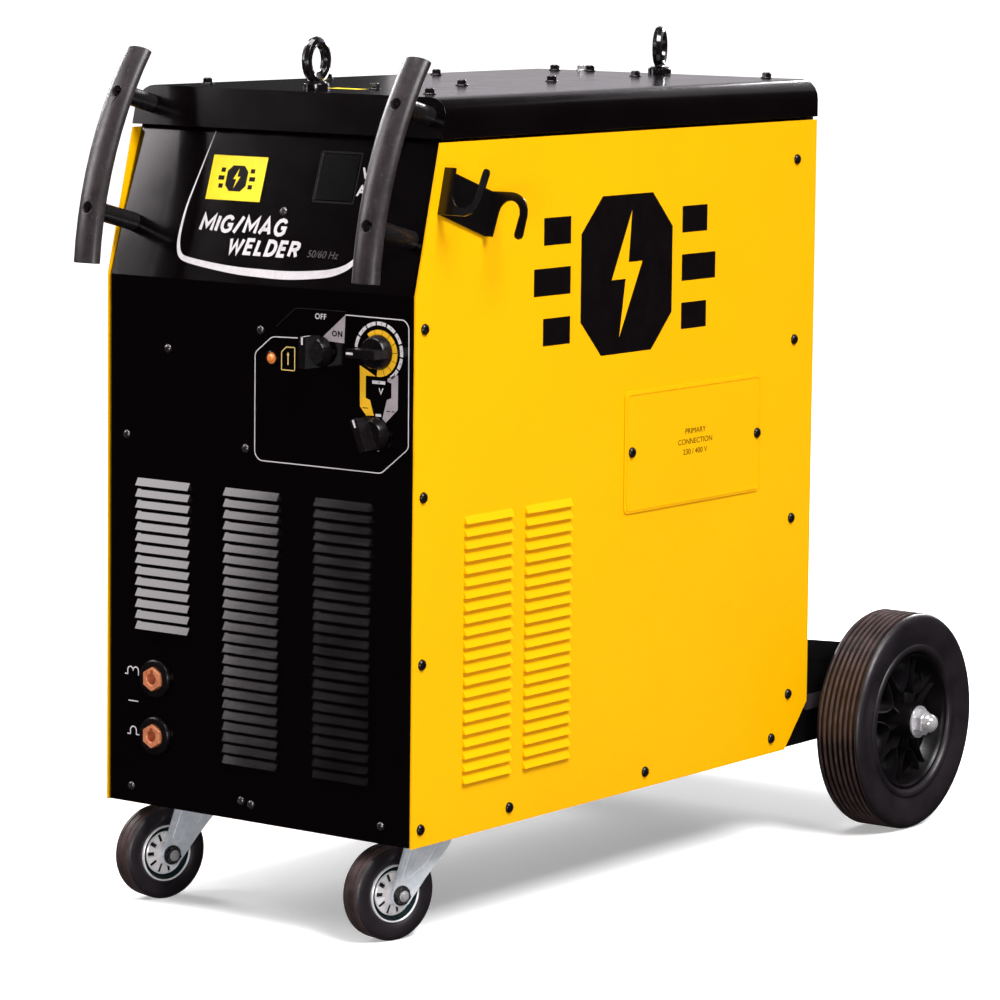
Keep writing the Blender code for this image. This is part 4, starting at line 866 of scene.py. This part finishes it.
def below(half, points):
    """A profile from (radius, distance below the widest part) points."""
    return [(radius, half - drop) for radius, drop in points]


def mirrored(profile):
    """The profile, then its mirror image back again."""
    return profile + [(radius, -height) for radius, height in reversed(profile)]


def tread_profile():
    """Outer face of the tyre with its grooves, from one shoulder to the other."""
    points = [(TREAD_LOW, TREAD_EDGE)]
    depth, mouth, chamfer = 0.0048, 0.0023, 0.0006
    for middle in GROOVE_MIDDLES:
        groove = [(WHEEL_R, mouth + chamfer), (WHEEL_R - chamfer, mouth),
                  (WHEEL_R - depth, mouth * 0.6)]
        points += [(radius, middle + offset) for radius, offset in mirrored(groove)]
    return points + [(TREAD_LOW, -TREAD_EDGE)]


def rear_tyre(name, body, place):
    piece = turned("tyre_tread_" + name, [tread_profile()], place, 112, RUBBER_TREAD, body)
    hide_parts("rear_tyre_" + name)
    # Black rings in the groove floors: painted shade deep in the grooves, with some dirt.
    groove_shade_rings = [[(WHEEL_R - 0.0052, middle - 0.0016), (WHEEL_R - 0.0020, middle - 0.0017),
               (WHEEL_R - 0.0020, middle + 0.0017), (WHEEL_R - 0.0052, middle + 0.0016)]
              for middle in GROOVE_MIDDLES]
    turned("tyre_groove_shade_" + name, groove_shade_rings, place, 112, RIM_BLACK, body)
    shoulder = [(TREAD_LOW, 0.0063), (WHEEL_R - 0.0006, 0.0063), (WHEEL_R - 0.0008, 0.0052),
                (WHEEL_R - 0.0024, 0.0026), (WHEEL_R - 0.0050, 0.0010)]
    bulge = [(0.1185, 0.0), (0.1140, 0.0001), (0.1060, 0.0010), (0.0980, 0.0030)]
    bead = [(0.0930, 0.0050), (0.0905, 0.0052), (0.0890, 0.0034), (0.0868, 0.0030),
            (0.0840, 0.0036), (0.0822, 0.0056), (0.0808, 0.0090)]
    inside = [(0.0808, 0.0110), (0.0900, 0.0105), (0.1120, 0.0080)]
    wall = below(WHEEL_HALF, shoulder + bulge + bead + inside)
    for number, face in both_ways(place):
        turned(f"tyre_wall_{name}_{number}", [wall], face, 96, RUBBER_SIDE, body,
               50.0)


def rear_rim(name, body, place):
    """Dished rim with its lip and boss, and eight looped ribs on each face."""
    rim = [(0.0805, 0.0222), (0.0796, 0.0232), (0.0772, 0.0234), (0.0758, 0.0222),
           (0.0745, 0.0190), (0.0700, 0.0060), (0.0680, 0.0038), (0.0260, 0.0030),
           (0.0212, 0.0050), (0.0205, 0.0290), (0.0198, 0.0312), (0.0185, 0.0318),
           (0.0104, 0.0318)]
    piece = turned("rim_" + name, [mirrored(rim)], place, 80, RIM_BLACK, body)
    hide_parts("rear_rim_" + name)
    half_loop = [(0.0715, 0.0215), (0.0640, 0.0200), (0.0560, 0.0172), (0.0480, 0.0132),
                 (0.0415, 0.0090), (0.0370, 0.0046)]
    loop = half_loop + [(0.0355, 0.0)] + [(u, -v) for u, v in reversed(half_loop)]
    loop = rounded_path(loop, 0.006, False, 3)
    for number, face in both_ways(place):
        bm = bmesh.new()
        for petal in range(8):
            spin = face @ Matrix.Rotation(math.tau * (petal + 0.25) / 8, 4, 'Z')
            add_ribbon(bm, loop, 0.0018, spin, 0.0025, 0.0150)
            add_ribbon(bm, [(0.0200, 0.0), (0.0355, 0.0)], 0.0022, spin, 0.0025, 0.0165)
        # The ribs' lighter black is painted highlight.
        piece_of(f"rim_ribs_{name}_{number}", bm, RIB_HIGHLIGHT_BLACK, body, 50.0)


def rear_wheel(name, side):
    place = (Matrix.Translation((side * WHEEL_MIDDLE, FRONT + AXLE_DEPTH, WHEEL_R))
             @ Matrix.Rotation(side * math.pi / 2, 4, 'Y'))
    rear_tyre(name, "rear_wheel_" + name, place)
    rear_rim(name, "rear_wheel_" + name, place)


# ---------------------------------------------------------------- casters
def caster_axes(side):
    """Axes of a caster's swivel, and of its wheel with Z along the axle."""
    x, depth = CASTER_PIVOT
    swivel = Matrix.Translation(at(side * x, depth, 0.0)) @ Matrix.Rotation(CASTER_TURN, 4, 'Z')
    return swivel, (swivel @ Matrix.Translation((0, -CASTER_TRAIL, CASTER_R))
                    @ Matrix.Rotation(math.pi / 2, 4, 'Y'))


def caster_disc(name, body, face):
    """Pressed disc: an outer lip, a hub and ten raised petals."""
    lip = [(0.0237, 0.0072), (0.0234, 0.0046), (0.0226, 0.0040), (0.0219, 0.0046),
           (0.0217, 0.0072)]
    hub = [(0.0128, 0.0074), (0.0122, 0.0030), (0.0108, -0.0004), (0.0092, -0.0022),
           (0.0052, -0.0026), (0.0052, 0.0074)]
    petal = [(0.0124, -0.0019), (0.0213, -0.0051), (0.0219, 0.0), (0.0213, 0.0051),
             (0.0124, 0.0019)]
    bm = bmesh.new()
    add_lathe(bm, below(CASTER_HALF, lip), face, 64)
    add_lathe(bm, below(CASTER_HALF, hub), face, 40)
    for number in range(10):
        spin = face @ Matrix.Rotation(math.tau * number / 10, 4, 'Z')
        foot = [spin @ Vector((u, v, CASTER_HALF - 0.0074)) for u, v in petal]
        crest = [spin @ Vector((u, v * 0.72, CASTER_HALF - (0.0034 if u < 0.02 else 0.0042)))
                 for u, v in petal]
        add_loft(bm, foot, crest)
    return piece_of(name, bm, DISC_ZINC, body)


def caster_wheel(name, side):
    body = "caster_wheel_" + name
    place = caster_axes(side)[1]
    tread = mirrored([(0.0478, 0.0118), (0.0492, 0.0116), (0.0500, 0.0106), (0.0500, 0.0062),
                      (0.0486, 0.0056), (0.0486, 0.0044), (0.0500, 0.0038)])
    piece = turned("caster_tread_" + name, [tread], place, 80, RUBBER_TREAD, body)
    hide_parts("caster_tyre_" + name)
    wall = [(0.0306, 0.0030), (0.0330, 0.0012), (0.0380, 0.0), (0.0430, 0.0001),
            (0.0462, 0.0008), (0.0482, 0.0020), (0.0493, 0.0033), (0.0476, 0.0033),
            (0.0400, 0.0065), (0.0306, 0.0055)]
    ring = [(0.0307, 0.0030), (0.0304, 0.0008), (0.0296, 0.0002), (0.0288, 0.0010),
            (0.0286, 0.0034)]
    well = [(0.0287, 0.0022), (0.0268, 0.0050), (0.0250, 0.0066), (0.0236, 0.0062),
            (0.0236, 0.0090), (0.0290, 0.0060)]
    # The black back shows between the disc's petals as dark slots: painted shade in the gaps.
    back = [(0.0238, 0.0074), (0.0110, 0.0070), (0.0110, CASTER_HALF), (0.0238, CASTER_HALF)]
    for number, face in both_ways(place):
        turned(f"caster_wall_{name}_{number}", [below(CASTER_HALF, wall)], face, 72, RUBBER_SIDE,
               body, 50.0)
    parts = (("ring", ring, 64, DISC_ZINC, "zinc_plate", 40.0),
             ("well", well, 64, TEAL, "black_plastic", 40.0),
             ("back", back, 64, RIM_BLACK, "caster_disc", 35.0))
    for number, face in both_ways(place):
        for part, profile, segments, look, slot, smooth in parts:
            turned(f"caster_{part}_{name}_{number}", [below(CASTER_HALF, profile)], face,
                   segments, look, body, smooth)
        disc = caster_disc(f"caster_disc_{name}_{number}", body, face)
        if number == 1:
            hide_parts("caster_rim_" + name)


def fork_bolts(name, side):
    """Washer, nut and bolt end over the wheel bolt of a caster fork."""
    body = "caster_swivel_" + name
    nuts, ends = bmesh.new(), bmesh.new()
    for _, face in both_ways(caster_axes(side)[1]):
        washer = [(0.0108, 0.0238), (0.0105, 0.0250), (0.0060, 0.0250), (0.0060, 0.0238)]
        add_lathe(nuts, washer, face, 32)
        add_prism(nuts, arc((0, 0), 0.0092, 15, 315, 5), face, 0.0240, 0.0288)
        end = [(0.0062, 0.0286), (0.0058, 0.0292), (0.0044, 0.0293), (0.0040, 0.0312),
               (0.0028, 0.0318), (0.0, 0.0318), (0.0, 0.0286)]
        add_lathe(ends, end, face, 28, closed=False)
    piece_of("fork_nuts_" + name, nuts, SCREW_DARK, body, 30.0)
    piece_of("fork_bolt_ends_" + name, ends, CHROME, body, 40.0)


def fork_cheeks(name, side):
    """Broad cheeks over the sides of a caster fork, each with a pressed border."""
    outline = [(0.0385, 0.1072), (-0.0225, 0.1072), *arc((-0.0290, CASTER_R), 0.0130, 180, 330, 8),
               (0.0020, 0.0660), (0.0290, 0.0930)]
    border = rounded_path([(0.0180, 0.1020), (-0.0150, 0.1020), (-0.0290, 0.0680),
                           (-0.0220, 0.0660), (0.0030, 0.0800)], 0.004, True, 4)
    cheeks = bmesh.new()
    for flip in (1, -1):
        across = Matrix(((0, 0, flip, 0), (1, 0, 0, 0), (0, 1, 0, 0), (0, 0, 0, 1)))
        place = caster_axes(side)[0] @ across
        add_prism(cheeks, outline, place, 0.0231, 0.0240)
        add_ribbon(cheeks, border, 0.0014, place, 0.0239, 0.0245, True)
    piece_of("fork_cheeks_" + name, cheeks, ZINC, "caster_swivel_" + name, 30.0)


# ---------------------------------------------------------------- small fittings
def carrier_details():
    """A flat grey band on the carrier's right cheek, and a stiffening crease on both."""
    bm = bmesh.new()
    # A thin grey plate laid on the black cheek.
    grey_band = [(0.7525, 0.148), (0.8585, 0.148), (0.8605, 0.150), (0.8605, 0.163), (0.8585, 0.165),
             (0.7525, 0.165)]
    add_prism(bm, grey_band, on_side(out=CHEEK_FACE), 0.0001, 0.0030)
    piece_of("carrier_grey_band", bm, GREY_PLATE, CABINET)
    for name, side in SIDES:
        bm = bmesh.new()
        path = [(side * 0.752, 0.2075), (side * 0.860, 0.1920), (side * 0.975, 0.1640)]
        add_ribbon(bm, path, 0.0016, on_side(side=side, out=CHEEK_FACE), 0.0, 0.0007)
        piece_of("carrier_crease_" + name, bm, CHASSIS, CABINET)


def cover_emboss():
    """A shallow pressed border round the access cover."""
    near, far, low, high = COVER
    inset = 0.0035
    border = rectangle(near + inset, low + inset, far - inset, high - inset)
    bm = bmesh.new()
    add_ribbon(bm, rounded_path(border, 0.005, True, 5), 0.0016, on_cover(), 0.0, 0.0007, True)
    piece_of("cover_border", bm, YELLOW, CABINET)


def rear_plate():
    """A blank data plate on the rear: ruled lines, no words."""
    place = on_rear(0.105, 0.500)
    plate = rounded_path(rectangle(-0.040, -0.030, 0.040, 0.030), 0.004, True, 4)
    ink("rear_data_plate", [("fill", plate)], place, GREY_PLATE, height=0.0008)
    levels = [-0.022 + 0.008 * row for row in range(6)]
    rules = [[(-0.034, y), (0.034, y)] for y in levels] + [[(0.0, levels[0]), (0.0, levels[-1])]]
    ink("rear_data_lines", [("line", rule, 0.0008, False) for rule in rules], place, WHITE_INK,
        height=0.00092)


def bezels():
    """The pilot lamp's ring and the thin frame of the panel meter's window."""
    ring = [(0.0075, 0.00005), (0.0074, 0.0011), (0.0066, 0.0016), (0.0062, 0.0012),
            (0.0062, 0.00005)]
    turned("lamp_bezel", [ring], on_front(0.0194, 0.6038), 28, PLASTIC, CABINET,
           35.0)
    half = 0.0268
    border = rounded_path(rectangle(-half, -half, half, half), 0.0015, True, 3)
    bm = bmesh.new()
    add_ribbon(bm, border, 0.0020, on_slope(0.0765, 0.1195), 0.00003, 0.0004, True)
    piece_of("meter_bezel", bm, BLACK_INK, CABINET)


# ---------------------------------------------------------------- ground, light and camera
def mixed_shader(tree, factor, first, second):
    return add_node(tree, "ShaderNodeMixShader", {0: factor, 1: first, 2: second})[0]


def ground():
    """A pale floor that glows to white away from the machine, and stays dim in its gloss."""
    made, tree, shader = new_material("pale_floor")
    where = add_node(tree, "ShaderNodeTexCoord", {})["Object"]
    seen = add_node(tree, "ShaderNodeLightPath", {})["Is Camera Ray"]
    patches = noise(tree, where, 3.0)
    reach = add_node(tree, "ShaderNodeVectorMath", {0: where}, operation='LENGTH')["Value"]
    glow = ranged(tree, reach, FLOOR_NEAR, 1.0, 0.9, 2.6)
    feed(tree, shader, {
        "Base Color": mixed(tree, ranged(tree, patches, 0.0, 1.0), (0.90, 0.90, 0.90),
                            (0.885, 0.885, 0.89)),
        "Roughness": 0.9, "Specular IOR Level": 0.1, "Emission Color": (1.0, 1.0, 1.0, 1.0),
        "Emission Strength": math_node(tree, 'MULTIPLY', glow, seen)})
    dim = add_node(tree, "ShaderNodeBsdfDiffuse", {"Color": ranged(tree, patches, 0.20, 0.24)})[0]
    feed(tree, tree.nodes["Material Output"],
         {"Surface": mixed_shader(tree, seen, dim, shader.outputs[0])})
    bm = bmesh.new()
    add_prism(bm, rectangle(-14, -14, 14, 14), Matrix.Identity(4), -0.02, 0.0)
    floor = shown("floor", mesh_of("floor", bm))
    floor.data.materials.append(made)
    floor.visible_glossy = False


def surroundings():
    """White to the eye, even for diffuse light, and a faint card behind for the gloss."""
    world = bpy.data.worlds.new("studio")
    bpy.context.scene.world = world
    world.use_nodes = True
    tree = world.node_tree
    tree.nodes.clear()

    def background(strength, grey=1.0):
        return add_node(tree, "ShaderNodeBackground", {"Color": (grey, grey, grey, 1.0),
                                                       "Strength": strength})[0]

    where = add_node(tree, "ShaderNodeTexCoord", {})["Generated"]
    towards = add_node(tree, "ShaderNodeVectorMath", {0: where, 1: (-0.55, 0.82, 0.12)},
                       operation='DOT_PRODUCT')["Value"]
    card = ranged(tree, towards, GLOSS_DARK, GLOSS_CARD, 0.35, 0.95)
    ray = add_node(tree, "ShaderNodeLightPath", {})
    unseen = mixed_shader(tree, ray["Is Glossy Ray"], background(AMBIENT), background(card, 0.8))
    all_rays = mixed_shader(tree, ray["Is Camera Ray"], unseen, background(BACK_WHITE))
    add_node(tree, "ShaderNodeOutputWorld", {"Surface": all_rays})


def softbox(name, place, target, width, height, power, tint=(1, 1, 1)):
    """A rectangular lamp that looks at its target."""
    data = bpy.data.lights.new(name, 'AREA')
    data.shape = 'RECTANGLE'
    data.size = width
    data.size_y = height
    data.energy = power
    data.color = tint
    made = shown(name, data)
    made.location = place
    made.rotation_mode = 'QUATERNION'
    made.rotation_quaternion = (Vector(target) - Vector(place)).to_track_quat('-Z', 'Y')


def lights():
    softbox("softbox_near", (-1.31, -1.17, 1.30), (-0.05, -0.46, 0.52), 0.54, 0.75, 10.5,
            (1.0, 0.93, 0.96))
    softbox("softbox_left", (-3.3, -2.2, 2.95), (0, -0.4, 0.5), 1.2, 1.5, 14)
    softbox("softbox_right", (4.6, -1.2, 6.2), (0, 0, 0.5), 3.2, 3.0, 720)
    softbox("softbox_fill", (2.0, -3.4, 0.45), (0, -0.2, 0.35), 1.0, 0.8, 52)
    softbox("softbox_top", (-0.5, -0.2, 3.6), (0, 0, 0.3), 2.0, 2.0, 95)
    softbox("softbox_rear", (-0.9, 4.0, 2.0), (-0.2, 0.3, 0.4), 1.2, 1.2, 110)
    softbox("softbox_far_side", (-4.2, 1.0, 2.4), (0, 0, 0.4), 1.4, 1.4, 120)
    softbox("card_back", (-0.5, 2.4, 1.75), (-0.5, 0, 1.6), 3.2, 1.7, 9.5, (1.0, 0.94, 1.0))


def camera():
    """A long lens from the front right, placed by its turn, tilt and roll in radians."""
    yaw, pitch, roll = 0.632778, 0.103831, 0.0113077
    ahead = Vector((-math.sin(yaw) * math.cos(pitch), math.cos(yaw) * math.cos(pitch),
                    -math.sin(pitch)))
    right = Vector((math.cos(yaw), math.sin(yaw), 0.0))
    up = right.cross(ahead)
    across = right * math.cos(roll) + up * math.sin(roll)
    above = up * math.cos(roll) - right * math.sin(roll)
    data = bpy.data.cameras.new("camera")
    data.lens = 161.38
    data.sensor_width = 36.0
    data.shift_x = -0.0185
    data.shift_y = -0.1396
    data.clip_end = 100.0
    made = shown("camera", data)
    turn = Matrix((across, above, -ahead)).transposed()
    made.matrix_world = Matrix.Translation((2.97137, -4.05662, 1.08772)) @ turn.to_4x4()
    bpy.context.scene.camera = made


camera()
surroundings()
lights()
ground()
bpy.context.scene.view_settings.view_transform = 'Standard'

dress_all()
all_screws()
handle_bolts()
control_outline()
control_fields()
control_words()
socket_print()
side_badges()
slope_print()
knob_marks()
for side_name, sign in SIDES:
    rear_wheel(side_name, sign)
    caster_wheel(side_name, sign)
    fork_cheeks(side_name, sign)
    fork_bolts(side_name, sign)
carrier_details()
cover_emboss()
rear_plate()
bezels()
